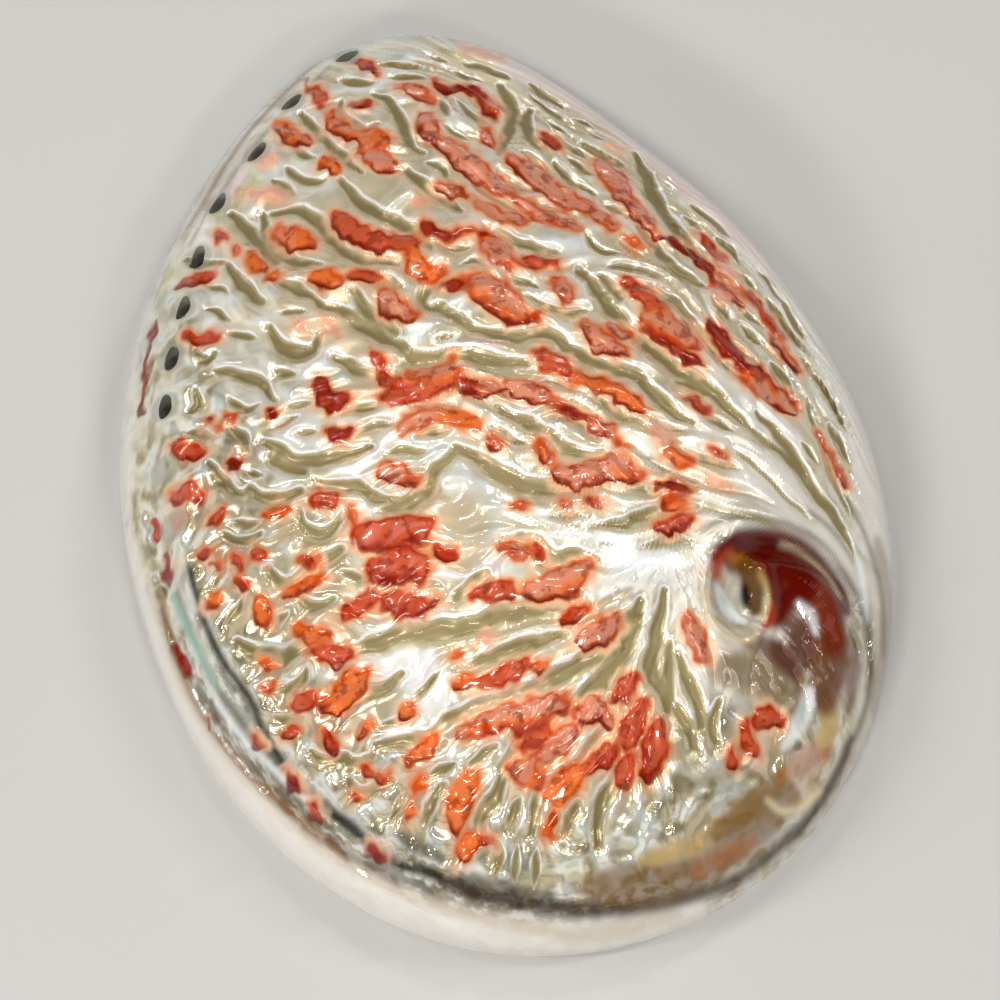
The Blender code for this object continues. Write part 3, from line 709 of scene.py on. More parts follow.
PATCHES: dict[Tone, tuple[tuple[float, Spots], ...]] = {
    Tone.DARK: (
        (4.5, ((433, 80), (445, 90), (465, 88), (480, 95), (486, 110), (496, 120))),
        (4, ((656, 236), (672, 240), (690, 252), (705, 265), (716, 281), (735, 298), (741, 304))),
        (5, ((423, 220), (432, 232), (450, 236), (462, 231))), (6, ((478, 233), (492, 236))),
        (8, ((446, 286), (462, 283))), (4.5, ((645, 327), (668, 343), (692, 360), (706, 366))),
        (8, ((712, 324), (721, 340), (735, 356), (748, 369), (764, 376))),
        (6, ((766, 380), (782, 394), (794, 402))), (12, ((466, 386), (478, 388))),
        (9, ((320, 380), (326, 396), (336, 406), (345, 398))), (6, ((326, 431), (340, 437), (352, 429))),
        (4.5, ((555, 405), (575, 412), (590, 420))), (6.5, ((660, 482), (674, 486), (688, 488))),
        (8, ((232, 464), (236, 462))), (6, ((208, 420), (210, 422))), (8, ((270, 413), (276, 414))),
        (4, ((356, 546), (380, 548), (404, 543), (428, 541))), (5, ((372, 580), (396, 580), (420, 580))),
        (4, ((554, 586), (572, 592), (584, 578))), (5, ((386, 608), (408, 614), (428, 606), (440, 598))),
        (4, ((470, 736), (500, 728), (526, 726), (550, 722))),
        (3.5, ((156, 320), (149, 350), (146, 380), (141, 416))), (3.5, ((162, 555), (166, 568), (171, 584))),
        (4, ((173, 645), (184, 664), (194, 680))), (5, ((288, 774), (299, 792))),
        (4, ((366, 849), (386, 861))), (6, ((588, 500), (594, 504))),
    ),
    Tone.RED: (
        (7, ((356, 60), (366, 65), (375, 73))), (9, ((312, 90), (321, 98), (323, 104))),
        (4, ((303, 80), (309, 86))), (7, ((354, 106), (362, 105), (370, 104))), (8, ((545, 136), (558, 146))),
        (4.5, ((698, 232), (710, 246), (724, 262))), (4.5, ((744, 290), (756, 302), (770, 322), (784, 340))),
        (9, ((336, 214), (346, 224), (360, 235), (380, 242), (400, 242), (414, 240))),
        (6, ((216, 234), (226, 238))), (6.5, ((350, 274), (378, 277))),
        (7, ((520, 263), (545, 263), (558, 264))),
        (5, ((470, 292), (488, 304), (506, 316), (528, 320), (540, 313))),
        (9, ((626, 281), (646, 296), (664, 312))), (10, ((540, 353), (556, 364), (570, 371))),
        (7, ((688, 397), (706, 409))), (10, ((384, 397), (402, 395), (426, 388), (450, 382))),
        (8, ((372, 355), (382, 362))), (8, ((380, 374), (396, 384))), (5, ((614, 438), (626, 446))),
        (7, ((656, 526), (672, 525), (690, 517))), (5, ((712, 448), (726, 458))),
        (2.6, ((816, 430), (826, 446), (838, 470), (848, 489))), (6, ((187, 336), (200, 340), (220, 336))),
        (8, ((175, 447), (190, 452), (200, 450))), (6, ((230, 417), (233, 417))),
        (11, ((175, 497), (188, 493), (200, 498))), (8, ((211, 522), (222, 513))),
        (6, ((234, 556), (241, 566))), (8, ((253, 553), (262, 557))), (5, ((200, 555), (213, 550))),
        (4, ((214, 565), (220, 564))), (7, ((303, 560), (316, 562))),
        (12, ((356, 532), (378, 536), (400, 530), (428, 526))),
        (12, ((374, 570), (392, 564), (414, 561), (422, 572))), (10, ((438, 550), (450, 554))),
        (9, ((475, 593), (498, 590), (514, 590))), (9, ((536, 545), (540, 556))),
        (10, ((346, 614), (360, 606), (370, 598))), (10, ((384, 600), (402, 604), (420, 606))),
        (5, ((235, 578), (248, 587))), (8, ((312, 651), (326, 652), (340, 658), (350, 650))),
        (11, ((298, 703), (311, 700))), (8, ((482, 681), (500, 678), (514, 669), (526, 662))),
        (8, ((565, 620), (585, 608))), (12, ((621, 695), (631, 680))),
        (10, ((642, 704), (636, 720), (626, 742))), (11, ((660, 728), (656, 750), (647, 774))),
        (9, ((628, 758), (622, 782))), (8, ((522, 746), (536, 735), (550, 726))),
        (5, ((564, 766), (572, 770))), (10, ((586, 765), (600, 758), (611, 746))),
        (6, ((534, 786), (540, 776))), (7, ((482, 838), (488, 840))), (6, ((362, 768), (372, 772))),
        (6, ((379, 778), (386, 777))), (5, ((354, 797), (362, 795))), (8, ((325, 735), (332, 746))),
        (6, ((285, 735), (297, 730))), (7, ((266, 688), (270, 687))),
        (10, ((756, 722), (769, 716), (779, 722))), (6, ((745, 725), (748, 745), (757, 755))),
        (7, ((732, 752), (734, 767))), (6, ((155, 520), (159, 542))), (3.5, ((205, 714), (212, 726))),
        (4, ((250, 738), (260, 748))), (5, ((308, 804), (321, 820))),
        (7, ((178, 286), (192, 280), (212, 274))), (11, ((316, 500), (334, 499))),
    ),
    Tone.ORANGE: (
        (8, ((278, 124), (290, 135), (308, 142))), (8, ((331, 114), (337, 126), (350, 134))),
        (13, ((356, 134), (384, 142))), (9, ((325, 160), (334, 169))), (6, ((628, 238), (641, 245))),
        (9, ((411, 248), (416, 262), (428, 273), (440, 269))), (11, ((278, 230), (291, 238), (310, 243))),
        (6.5, ((234, 249), (238, 251))), (9, ((251, 258), (262, 268))), (6, ((270, 279), (278, 272))),
        (13, ((319, 276), (335, 281))), (7, ((462, 230), (472, 230))),
        (7, ((570, 378), (595, 382), (616, 390), (632, 402), (645, 410))), (5, ((450, 360), (454, 354))),
        (8, ((440, 414), (458, 419), (476, 424))), (11, ((492, 443), (497, 443))),
        (8, ((538, 440), (549, 458))), (7, ((600, 474), (640, 474))), (8, ((665, 452), (690, 462))),
        (9, ((666, 501), (682, 503))), (4, ((216, 428), (221, 427))), (7, ((268, 515), (286, 510))),
        (10, ((262, 603), (264, 620))), (7, ((212, 605), (218, 598))),
        (6, ((284, 593), (300, 586), (322, 576))), (8, ((299, 628), (314, 634), (324, 635))),
        (12, ((364, 676), (350, 686), (338, 700), (326, 704))), (9, ((404, 711), (409, 710))),
        (7, ((454, 654), (460, 655))), (8, ((458, 685), (472, 680))), (7, ((536, 668), (542, 663))),
        (14, ((556, 795), (566, 784), (577, 776))), (8, ((410, 760), (424, 748), (435, 736))),
        (9, ((421, 780), (415, 790))), (8, ((412, 806), (410, 814))),
        (12, ((472, 780), (461, 800), (456, 824))), (9, ((476, 838), (467, 846), (463, 858))),
        (7, ((553, 815), (548, 835))), (5, ((261, 660), (273, 665))), (6, ((358, 736), (370, 724))),
        (5, ((350, 506), (357, 524))), (7, ((516, 505), (524, 506))),
    ),
    Tone.SALMON: (
        (12, ((366, 150), (388, 166))), (7, ((402, 87), (418, 92), (430, 101))),
        (7, ((490, 100), (497, 112))), (9, ((488, 131), (488, 143))), (12, ((426, 118), (431, 134))),
        (10, ((440, 142), (454, 150), (470, 165), (490, 180), (506, 190))),
        (6, ((437, 185), (454, 190), (468, 195))), (6.5, ((478, 204), (500, 215), (526, 222))),
        (6.5, ((512, 195), (532, 209), (552, 219), (578, 228))),
        (11, ((512, 160), (526, 168), (546, 185), (570, 200), (588, 207))), (10, ((594, 214), (612, 226))),
        (12, ((600, 165), (614, 180), (626, 198))), (8, ((628, 200), (644, 219), (654, 231))),
        (5.5, ((772, 338), (786, 356), (800, 370))), (11, ((385, 292), (396, 307), (412, 317))),
        (14, ((490, 241), (500, 255), (508, 261))), (14, ((474, 278), (490, 288), (506, 302), (518, 313))),
        (10, ((558, 283), (568, 298))), (9, ((585, 325), (600, 340), (624, 351))),
        (6, ((608, 325), (630, 335))), (13, ((650, 316), (672, 328), (692, 343))),
        (12, ((748, 378), (762, 386), (780, 400), (790, 408))), (13, ((484, 390), (492, 389))),
        (9, ((506, 386), (526, 391), (550, 398))), (7, ((408, 376), (430, 374), (450, 372), (462, 374))),
        (9, ((402, 430), (416, 420), (436, 412))), (10, ((556, 471), (580, 475), (602, 468), (626, 463))),
        (10, ((595, 424), (608, 431))), (10, ((385, 470), (400, 475), (412, 479))),
        (6, ((177, 521), (181, 521))), (12, ((532, 590), (552, 585), (574, 575), (586, 566))),
        (11, ((506, 548), (522, 552))), (11, ((584, 640), (600, 632), (615, 620))),
        (8, ((690, 620), (697, 640), (705, 660))), (12, ((582, 714), (595, 708), (604, 717))),
        (10, ((476, 722), (500, 718), (525, 712), (546, 706), (566, 703))),
        (12, ((546, 752), (560, 740), (570, 731))), (9, ((513, 766), (528, 776), (536, 760))),
        (10, ((462, 731), (480, 728))), (7, ((562, 502), (569, 503))),
    ),
    Tone.FAINT: (
        (7, ((416, 200), (424, 202))), (8, ((714, 288), (732, 300))), (8, ((655, 430), (670, 440))),
        (4, ((708, 476), (726, 488))), (6, ((483, 640), (488, 636))), (7, ((262, 158), (270, 162))),
        (5, ((244, 194), (286, 197))), (6, ((296, 324), (306, 330))), (6, ((324, 318), (336, 334))),
        (7, ((598, 500), (606, 502))), (6, ((612, 146), (622, 150))), (6, ((466, 48), (500, 58))),
        (6, ((720, 262), (738, 284))),
    ),
}


@dataclass
class ShoulderLine:
    """The line that carries the holes, runs round the back and ends as the suture of the spire."""

    points: Spots = ((3.5, 80.5), (-8.5, 75.0), (-17.3, 67.8), (-26.6, 61.5), (-33.1, 53.1), (-38.6, 44.5),
                     (-43.5, 36.5), (-47.4, 28.6), (-51.2, 17.8), (-53.0, 7.9), (-54.8, -4.0),
                     (-54.0, -21.0), (-45.5, -46.0), (-26.5, -68.5), (-8.0, -76.5), (9.5, -77.5),
                     (27.5, -72.5), (37.0, -66.5), (41.5, -63.0), (46.5, -57.0), (50.0, -50.5),
                     (51.3, -43.5), (50.0, -38.0), (46.0, -34.0), (40.5, -31.2), (35.5, -30.3),
                     (29.0, -32.5))
    open_holes: int = 8
    filled_holes: int = 2
    samples: int = 16
    end: float = 13.0
    suture_start: float = 16.5
    suture_fade: float = 4.0
    crest: tuple[float, float] = (0.9, 2.6)
    groove: Triple = (2.3, 2.9, 1.9)
    ledge: Triple = (0.7, 6.2, 2.0)
    groove_in: tuple[float, float] = (6.5, 9.5)
    groove_out: tuple[float, float] = (14.5, 17.5)
    suture: Triple = (3.4, 1.2, 2.2)
    fold: Triple = (1.2, 3.2, 3.0)
    knobs: Spots = ((191, 573), (199, 600), (214, 628), (238, 672), (262, 708), (298, 758), (330, 782),
                    (357, 815), (396, 836), (431, 857), (463, 874), (500, 880), (520, 868))
    knob: tuple[float, float] = (1.7, 1.8)
    overshoot: float = 0.6

    def nearest(self, x: Array, y: Array, points: Spots) -> tuple[Array, ...]:
        """Find the nearest point of a smooth curve.

        Args:
            x: Places across.
            y: Places along.
            points: Points that the curve passes.

        Returns:
            The distance, the place on the curve, and the side: positive is outside.
        """
        curve, places = catmull_rom(points, self.samples)
        run = np.gradient(curve, axis=0)
        best = np.full(x.shape, np.inf)
        place = np.zeros(x.shape)
        side = np.zeros(x.shape)
        for (px, py), (tx, ty), spot in zip(curve, run, places):
            distance = np.hypot(x - px, y - py)
            closer = distance < best
            best = np.where(closer, distance, best)
            ahead = ((x - px) * tx + (y - py) * ty) / (tx * tx + ty * ty)
            ahead = np.clip(ahead, -self.overshoot, self.overshoot)
            place = np.where(closer, spot + ahead / self.samples, place)
            side = np.where(closer, tx * (y - py) - ty * (x - px), side)
        return best, place, np.sign(-side)

    def holes(self) -> Spots:
        """Give the middles of the open and filled holes."""
        return self.points[:self.open_holes + self.filled_holes]

    def beside(self, x: Array, y: Array) -> tuple[Array, Array]:
        """Give the distance outward from the line and the place on it."""
        distance, place, side = self.nearest(x, y, self.points)
        return distance * side, place

    def relief(self, outward: Array, place: Array) -> Array:
        """Give the crest, groove, ledge and suture that follow the line.

        Args:
            outward: Distance from the line, positive outside it.
            place: Place on the line.

        Returns:
            Heights in millimetres.
        """
        on_shoulder = 1.0 - smooth_step(self.end, self.suture_start, place)
        groove = smooth_step(*self.groove_in, place) * (1.0 - smooth_step(*self.groove_out, place))
        suture = smooth_step(self.suture_start, self.suture_start + self.suture_fade, place)
        suture *= 1.0 - smooth_step(len(self.points) - 2.0, len(self.points) - 1.0, place)
        total = self.crest[0] * bell(outward, self.crest[1]) * on_shoulder
        total -= self.groove[0] * bell(outward - self.groove[1], self.groove[2]) * groove
        total += self.ledge[0] * bell(outward - self.ledge[1], self.ledge[2]) * groove
        total -= self.suture[0] * bell(outward + self.suture[1], self.suture[2]) * suture
        return total + self.fold[0] * bell(outward - self.fold[1], self.fold[2]) * suture


@dataclass(frozen=True)
class SpireForm:
    """The low coiled spire: a sunk place, a swollen last turn, and the open pit at its worn tip."""

    centre: tuple[float, float] = (34.0, -42.0)
    sink: float = 5.0
    spread: float = 15.0
    whorl: Spots = ((33.5, -33.8), (38.5, -35.0), (43.5, -38.5), (45.5, -44.5), (44.0, -51.5),
                    (39.0, -58.5))
    swell: float = 2.0
    swell_width: float = 4.4
    pit: tuple[float, float] = (30.3, -37.8)
    pit_radii: tuple[float, float] = (5.2, 7.2)
    pit_turn: float = -0.35
    pit_depth: float = 3.8
    pit_floor: float = 0.3
    pit_lip: float = 0.9
    pit_lip_at: float = 1.1
    pit_lip_width: float = 0.22
    hollow_drop: float = 9.0
    hollow_spread: float = 9.0
    hollow_ease: float = 0.3

    def sunk(self, x: Array, y: Array) -> Array:
        """Give how far the dome sinks at the spire."""
        return self.sink * bell(gap_to(x, y, self.centre), self.spread)

    def pit_share(self, x: Array, y: Array) -> Array:
        """Give the share of the way from the middle of the pit to its edge."""
        across, along = x - self.pit[0], y - self.pit[1]
        turned_x = across * math.cos(self.pit_turn) + along * math.sin(self.pit_turn)
        turned_y = -across * math.sin(self.pit_turn) + along * math.cos(self.pit_turn)
        return np.hypot(turned_x / self.pit_radii[0], turned_y / self.pit_radii[1])

    def relief(self, x: Array, y: Array, line: ShoulderLine) -> Array:
        """Give the swell of the last turn and the pit with its lip."""
        gap, _, _ = line.nearest(x, y, self.whorl)
        share = self.pit_share(x, y)
        total = self.swell * bell(gap, self.swell_width)
        total += self.pit_lip * bell(share - self.pit_lip_at, self.pit_lip_width)
        return total - self.pit_depth * (1.0 - smooth_step(self.pit_floor, 1.0, share))

    def under(self, x: Array, y: Array, share: Array) -> Array:
        """Give how far the hollow side comes down below the spire and its pit."""
        drop = self.hollow_drop * bell(gap_to(x, y, self.pit), self.hollow_spread)
        return (self.sunk(x, y) + drop) * smooth_step(0.0, self.hollow_ease, 1.0 - share)


@dataclass
class GrowthLines:
    """Fine growth lines that run from the shoulder to the spire. Each guide is a line of one number."""

    guides: tuple[tuple[float, Spots], ...] = (
        (0.0, ((11, 74), (24, 59), (38, 42), (50, 22), (58, 0), (61, -20))),
        (3.0, ((-8, 75), (11, 64), (20, 50), (32, 33), (44, 19), (50, 2), (55, -13), (58, -29))),
        (5.0, ((-22, 63), (-13, 56), (0, 34), (20, 20), (40, 4), (50, -17), (55, -34))),
        (9.0, ((-47, 29), (-28, 16), (-4, 7), (17, -10), (31, -21), (42, -28))),
        (13.0, ((-55, -10), (-38, -14), (-19, -18), (2, -23), (20, -27))),
        (16.0, ((-45, -46), (-22, -41), (-1, -37), (15, -34))),
        (19.0, ((-26, -69), (-14, -58), (0, -49), (13, -40))),
        (21.0, ((-8, -78), (-2, -65), (6, -51), (15, -41))),
        (24.0, ((21, -77), (19, -64), (18, -51), (18, -43))))
    ease: float = 0.5
    sway: float = 0.3
    sway_length: float = 17.0
    seed: int = 7
    step: float = 0.5
    hub: tuple[float, float] = (33.0, -40.0)
    ridge_mm: float = 5.5

    def __post_init__(self) -> None:
        """Bend the sheet of numbers through the guides."""
        spots = [spot for _, line in self.guides for spot in line]
        numbers = [number for number, line in self.guides for _ in line]
        self.sheet = thin_plate(spots, np.array(numbers), self.ease)

    def number(self, x: Array, y: Array) -> Array:
        """Give the number of the growth line at a place."""
        return self.sheet(x, y) + self.sway * waves(x, y, self.sway_length, self.seed)

    def flow(self, x: Array, y: Array) -> tuple[Array, Array]:
        """Measure a place across and along the growth lines, in millimetres on a line of usual width."""
        return self.ridge_mm * self.number(x, y), gap_to(x, y, self.hub)

    def heading(self, x: Array, y: Array) -> tuple[Array, Array]:
        """Give the direction along the growth line at a place."""
        return level_way(self.number, x, y, self.step)


@dataclass
class ShellSurface:
    """The whole surface: the dome, its relief, and the masks that its finish reads."""

    view: PhotoView = field(default_factory=PhotoView)
    form: DomeForm = field(default_factory=DomeForm)
    line: ShoulderLine = field(default_factory=ShoulderLine)
    spire: SpireForm = field(default_factory=SpireForm)
    growth: GrowthLines = field(default_factory=GrowthLines)
    channel_depth: float = 1.2
    channel_soft: float = 0.4
    channel_widen: float = 1.2
    channel_taper: float = 6.0
    patch_widen: float = 1.25
    usual_taper: float = 2.0
    plateau_edge: float = 0.8
    plateau_soft: float = 0.25
    tone_soft: float = 0.6
    trace_samples: int = 8
    tip: float = 0.45
    cut_soft: float = 0.4
    tint_widen: float = 1.3
    tint_edge: float = 0.5
    tint_soft: float = 0.3
    steep_wall: tuple[float, float] = (-0.25, 0.45)
    gentle_wall: tuple[float, float] = (-1.0, 0.6)
    pillow: float = 0.9
    pillow_spread: float = 2.0
    pillow_level: float = 0.3
    bends: tuple[tuple[float, float], ...] = ((0.2, 5.0), (0.36, 3.2))
    bend_seeds: tuple[int, int] = (41, 43)
    wave_count: int = 16
    glow_reach: int = 14
    glow_step: float = 0.45
    glow_probe: float = 0.3
    glow_soft: float = 0.5
    patch_step: float = 0.22
    cords: float = 0.75
    cord_width: float = 6.0
    cord_seed: int = 31
    cord_least: float = 0.25
    cord_sunk: float = 0.6
    strands: float = 0.26
    strand_width: float = 2.8
    strand_seed: int = 33
    stretch: float = 3.0
    lumps: float = 0.10
    lump_length: float = 6.0
    lump_seed: int = 5
    lump_least: float = 0.3
    fill_seed: int = 23
    fill_gap: float = 2.4
    fill_step: float = 0.4
    fill_steps: int = 24
    fill_width: tuple[float, float] = (0.6, 0.95)
    fill_room: float = 0.85
    fill_shortest: float = 4.8
    fill_area: tuple[Span, Span] = ((-58.0, 62.0), (-74.0, 78.0))
    fill_jitter: float = 0.45
    fill_least: int = 5
    fill_patch_gap: float = 0.1
    fill_ends: float = 3.0
    fill_tip: float = 0.4
    fill_inside: float = 3.0
    fill_end: float = 13.5
    fill_right: tuple[float, float] = (0.0, -20.0)
    fill_rim: float = 0.93
    fill_away: float = 22.0
    beaten: float = 0.36
    beaten_length: float = 5.0
    beaten_seed: int = 51
    beaten_waves: int = 18
    glint_starts: Span = (1.0, 7.5)
    glint_ends: Span = (22.5, 20.0)
    glint_reach: Span = (30.0, 6.0)
    domes: tuple[tuple[float, float, float, float], ...] = (
        (461, 114, 3.0, 0.9), (528, 289, 2.8, 0.8), (503, 259, 2.4, 0.5), (430, 126, 2.0, 0.4),
        (488, 137, 1.6, 0.5), (362, 105, 1.8, 0.5), (494, 443, 1.8, 0.4))
    level: float = 0.4
    rim_ease: float = 0.06
    rim_margin: float = 0.08
    busy_away: Span = (12.0, 32.0)
    flank_ease: Span = (-0.5, 2.0)
    hole_edge: float = 0.6
    hole_soft: tuple[float, float] = (0.6, 1.0)
    hole_radius: float = 1.8
    hole_ring: Triple = (0.25, 1.5, 0.8)
    filled_dent: float = 0.7
    filled_ring: Triple = (0.3, 0.8, 0.8)
    spacing: float = 0.8

    def __post_init__(self) -> None:
        """Lay the channels and the patches on their rasters."""
        self.dome_spots, self.knob_spots = self.laid([[dome[:2] for dome in self.domes], self.line.knobs])
        self.channels = self.drawn([(0.0, width, line) for width, line in CHANNELS],
                                   self.channel_widen, self.channel_taper)
        self.patches = self.drawn([(tone.value, width, line) for tone, strokes in PATCHES.items()
                                   for width, line in strokes], self.patch_widen, self.usual_taper)
        self.fill_channels()
        self.channel_side = self.channels.leaning(self.channels.strength)
        gentle = HALF + HALF * self.channel_side
        walls = zip(self.steep_wall, self.gentle_wall)
        low, high = ((1 - gentle) * steep + gentle * soft for steep, soft in walls)
        grooves = smooth_step(0.0, 1.0, (self.channels.strength - low) / (high - low))
        self.grooves = self.channels.soften(grooves, self.channel_soft)
        self.pillows = self.channels.soften(grooves, self.pillow_spread)
        plateaus = smooth_step(0.0, self.plateau_edge, self.patches.inset)
        self.plateaus = self.patches.soften(plateaus, self.plateau_soft)
        self.tones = self.patches.soften(self.patches.tone, self.tone_soft)
        self.tint = self.painted()
        self.carved = self.cut_lines()

    def drawn(self, strokes: list[tuple[float, float, Spots]], widen: float, taper: float) -> Canvas:
        """Lay strokes, which are given in pixels, on a new raster.

        Args:
            strokes: The tone, half the width and the points of each stroke.
            widen: How much wider than given they are laid.
            taper: Length over which they get thinner at the ends, in halves of the width.

        Returns:
            The raster.
        """
        canvas = Canvas()
        for (tone, width, _), line in zip(strokes, self.laid([line for _, _, line in strokes])):
            canvas.stroke(*self.traced(width * widen, line, taper), tone)
        return canvas

    def ground(self, x: Array, y: Array) -> Array:
        """Give the height of the large forms, on which everything drawn is laid."""
        share, _ = self.form.share(x, y, self.form.no_inset)
        total = self.line.relief(*self.line.beside(x, y)) - self.level
        total += self.spire.relief(x, y, self.line) - self.spire.sunk(x, y)
        return self.form.outer(x, y) + total * smooth_step(0.0, self.rim_ease, 1.0 - share)

    def laid(self, lines: list[Spots]) -> list[Array]:
        """Find the places on the shell of lines that are given in pixels.

        Args:
            lines: Points of each line in pixels.

        Returns:
            Rows of x and y for each line, in millimetres.
        """
        spots = tuple(spot for line in lines for spot in line)
        ends = np.cumsum([len(line) for line in lines])[:-1]
        return np.split(self.view.on_shell(spots, self.ground), ends)

    def fill_channels(self) -> None:
        """Lay short, narrow channels along the growth lines where nothing else lies."""
        chance = np.random.default_rng(self.fill_seed)
        across, along = (np.arange(low, high, self.fill_gap) for low, high in self.fill_area)
        spots = np.array([(x, y) for x in across for y in along])
        spots += chance.uniform(-self.fill_jitter, self.fill_jitter, spots.shape) * self.fill_gap
        spots = spots[self.fillable(*spots.T)]
        chance.shuffle(spots)
        paths = [spots]
        for way in (-1.0, 1.0):
            here = spots
            for _ in range(self.fill_steps):
                step = np.column_stack(self.growth.heading(*here.T))
                here = here + way * self.fill_step * step
                paths = [here, *paths] if way < 0 else [*paths, here]
        lines = np.stack(paths, axis=1)
        free = self.fillable(lines[:, :, 0], lines[:, :, 1])
        for line, usable in zip(lines, free):
            back, ahead = chance.integers(self.fill_least, self.fill_steps, 2)
            width = chance.uniform(*self.fill_width)
            clear = self.channels.read(self.channels.inset, *line.T) < -self.fill_room - width
            clear &= (self.patches.read(self.patches.inset, *line.T) < -self.fill_patch_gap) & usable
            first = last = self.fill_steps
            while first > self.fill_steps - back and clear[first - 1]:
                first -= 1
            while last < self.fill_steps + ahead and clear[last + 1]:
                last += 1
            if clear[self.fill_steps] and (last - first) * self.fill_step > self.fill_shortest:
                part = line[first:last + 1:2]
                steps = np.arange(len(part))
                ends = smooth_step(0.0, self.fill_ends, np.minimum(steps, steps[::-1]))
                self.channels.stroke(part, width * (self.fill_tip + (1.0 - self.fill_tip) * ends))

    def fillable(self, x: Array, y: Array) -> Array:
        """Tell where the short channels may lie: on the dome, away from the rim, the knobs and the spire."""
        share, _ = self.form.share(x, y, self.form.no_inset)
        outward, place = self.line.beside(x, y)
        right, top = self.fill_right
        kept = (outward < -self.fill_inside) & (place < self.fill_end) | (x > right) & (y > top)
        return (share < self.fill_rim) & kept & (gap_to(x, y, self.spire.centre) > self.fill_away)

    def traced(self, width: float, line: Array, taper: float) -> tuple[Array, Array]:
        """Follow a line over the shell.

        Args:
            width: Half of its width in pixels.
            line: Its points in millimetres.
            taper: Length over which it gets thinner at the ends, in halves of the width.

        Returns:
            Points close together and half of the width at each, in millimetres, thinner at the ends.
        """
        curve, _ = catmull_rom(line, self.trace_samples)
        run = np.concatenate(([0.0], np.cumsum(np.hypot(*np.diff(curve, axis=0).T))))
        half = width * self.view.pixel_mm
        along = np.linspace(0.0, run[-1], max(int(run[-1] / self.spacing) + 1, 3))
        points = np.column_stack([np.interp(along, run, curve[:, k]) for k in (0, 1)])
        ends = smooth_step(-half, taper * half, np.minimum(along, run[-1] - along))
        return points, half * (self.tip + (1.0 - self.tip) * ends)

    def alone(self, strokes: list[tuple[float, Spots]]) -> Iterator[Array]:
        """Lay strokes, which are given in pixels, each on a clear raster.

        Args:
            strokes: Half the width and the points of each stroke.

        Yields:
            The strength of each stroke over the raster.
        """
        canvas = Canvas(reach=1.0, margin=0.2)
        for (width, _), line in zip(strokes, self.laid([line for _, line in strokes])):
            canvas.cleared()
            canvas.stroke(*self.traced(width, line, self.usual_taper))
            yield canvas.strength

    def cut_lines(self) -> Array:
        """Add up the single grooves and ridges.

        Returns:
            A raster of heights in millimetres.
        """
        strengths = self.alone([(width, line) for _, width, line in CUTS])
        total = sum(rise * smooth_step(0.0, 1.0, strength) for (rise, *_), strength in zip(CUTS, strengths))
        return self.channels.soften(total, self.cut_soft)

    def painted(self) -> Array:
        """Lay the tints over each other.

        Returns:
            Rasters of red, green, blue and cover.
        """
        layers = np.zeros((4, *self.patches.tone.shape))
        strengths = self.alone([(width * self.tint_widen, line) for _, _, width, line in TINTS])
        for (tint, cover, *_), strength in zip(TINTS, strengths):
            share = cover * smooth_step(0.0, self.tint_edge, strength)
            left = layers[3] * (1.0 - share)
            total = np.maximum(share + left, 1e-6)
            for k, part in enumerate(colour(*tint.value)[:3]):
                layers[k] = (part * share + layers[k] * left) / total
            layers[3] = share + left
        return np.array([self.patches.soften(layer, self.tint_soft) for layer in layers])

    def inner_flank(self, outward: Array, place: Array) -> Array:
        """Give one on the domed side of the shoulder and zero on the flank outside it."""
        beyond = np.where(place < self.line.suture_start, outward, -1.0)
        return 1.0 - smooth_step(*self.flank_ease, beyond)

    def hole_relief(self, x: Array, y: Array) -> Array:
        """Give the soft edges of the open holes and the dents of the filled ones."""
        low, high = self.hole_radius - self.hole_soft[0], self.hole_radius + self.hole_soft[1]
        total = np.zeros_like(x)
        for k, spot in enumerate(self.line.holes()):
            gap = gap_to(x, y, spot)
            if k < self.line.open_holes:
                total -= self.hole_edge * (1.0 - smooth_step(low, high, gap))
                rise, beyond, width = self.hole_ring
            else:
                total -= self.filled_dent * bell(gap, self.hole_radius)
                rise, beyond, width = self.filled_ring
            total += rise * bell(gap - self.hole_radius - beyond, width)
        return total

    def bent(self, x: Array, y: Array, kind: int) -> tuple[Array, Array]:
        """Shift places a little, so that what is drawn gets uneven edges.

        Args:
            x: Places across.
            y: Places along.
            kind: Zero for channels, one for patches.

        Returns:
            The shifted places.
        """
        reach, length = self.bends[kind]
        right, up = (reach * waves(x, y, length, seed, self.wave_count) for seed in self.bend_seeds)
        return x + right, y + up

    def glinting(self, distance: Array, place: Array) -> Array:
        """Give one in the band behind the row of holes, where the nacre is uneven and mirrors the most.

        Args:
            distance: Distance from the shoulder line.
            place: Place on the shoulder line.

        Returns:
            The share of each place.
        """
        along = smooth_step(*self.glint_starts, place) * smooth_step(*self.glint_ends, place)
        return smooth_step(*self.glint_reach, distance) * along

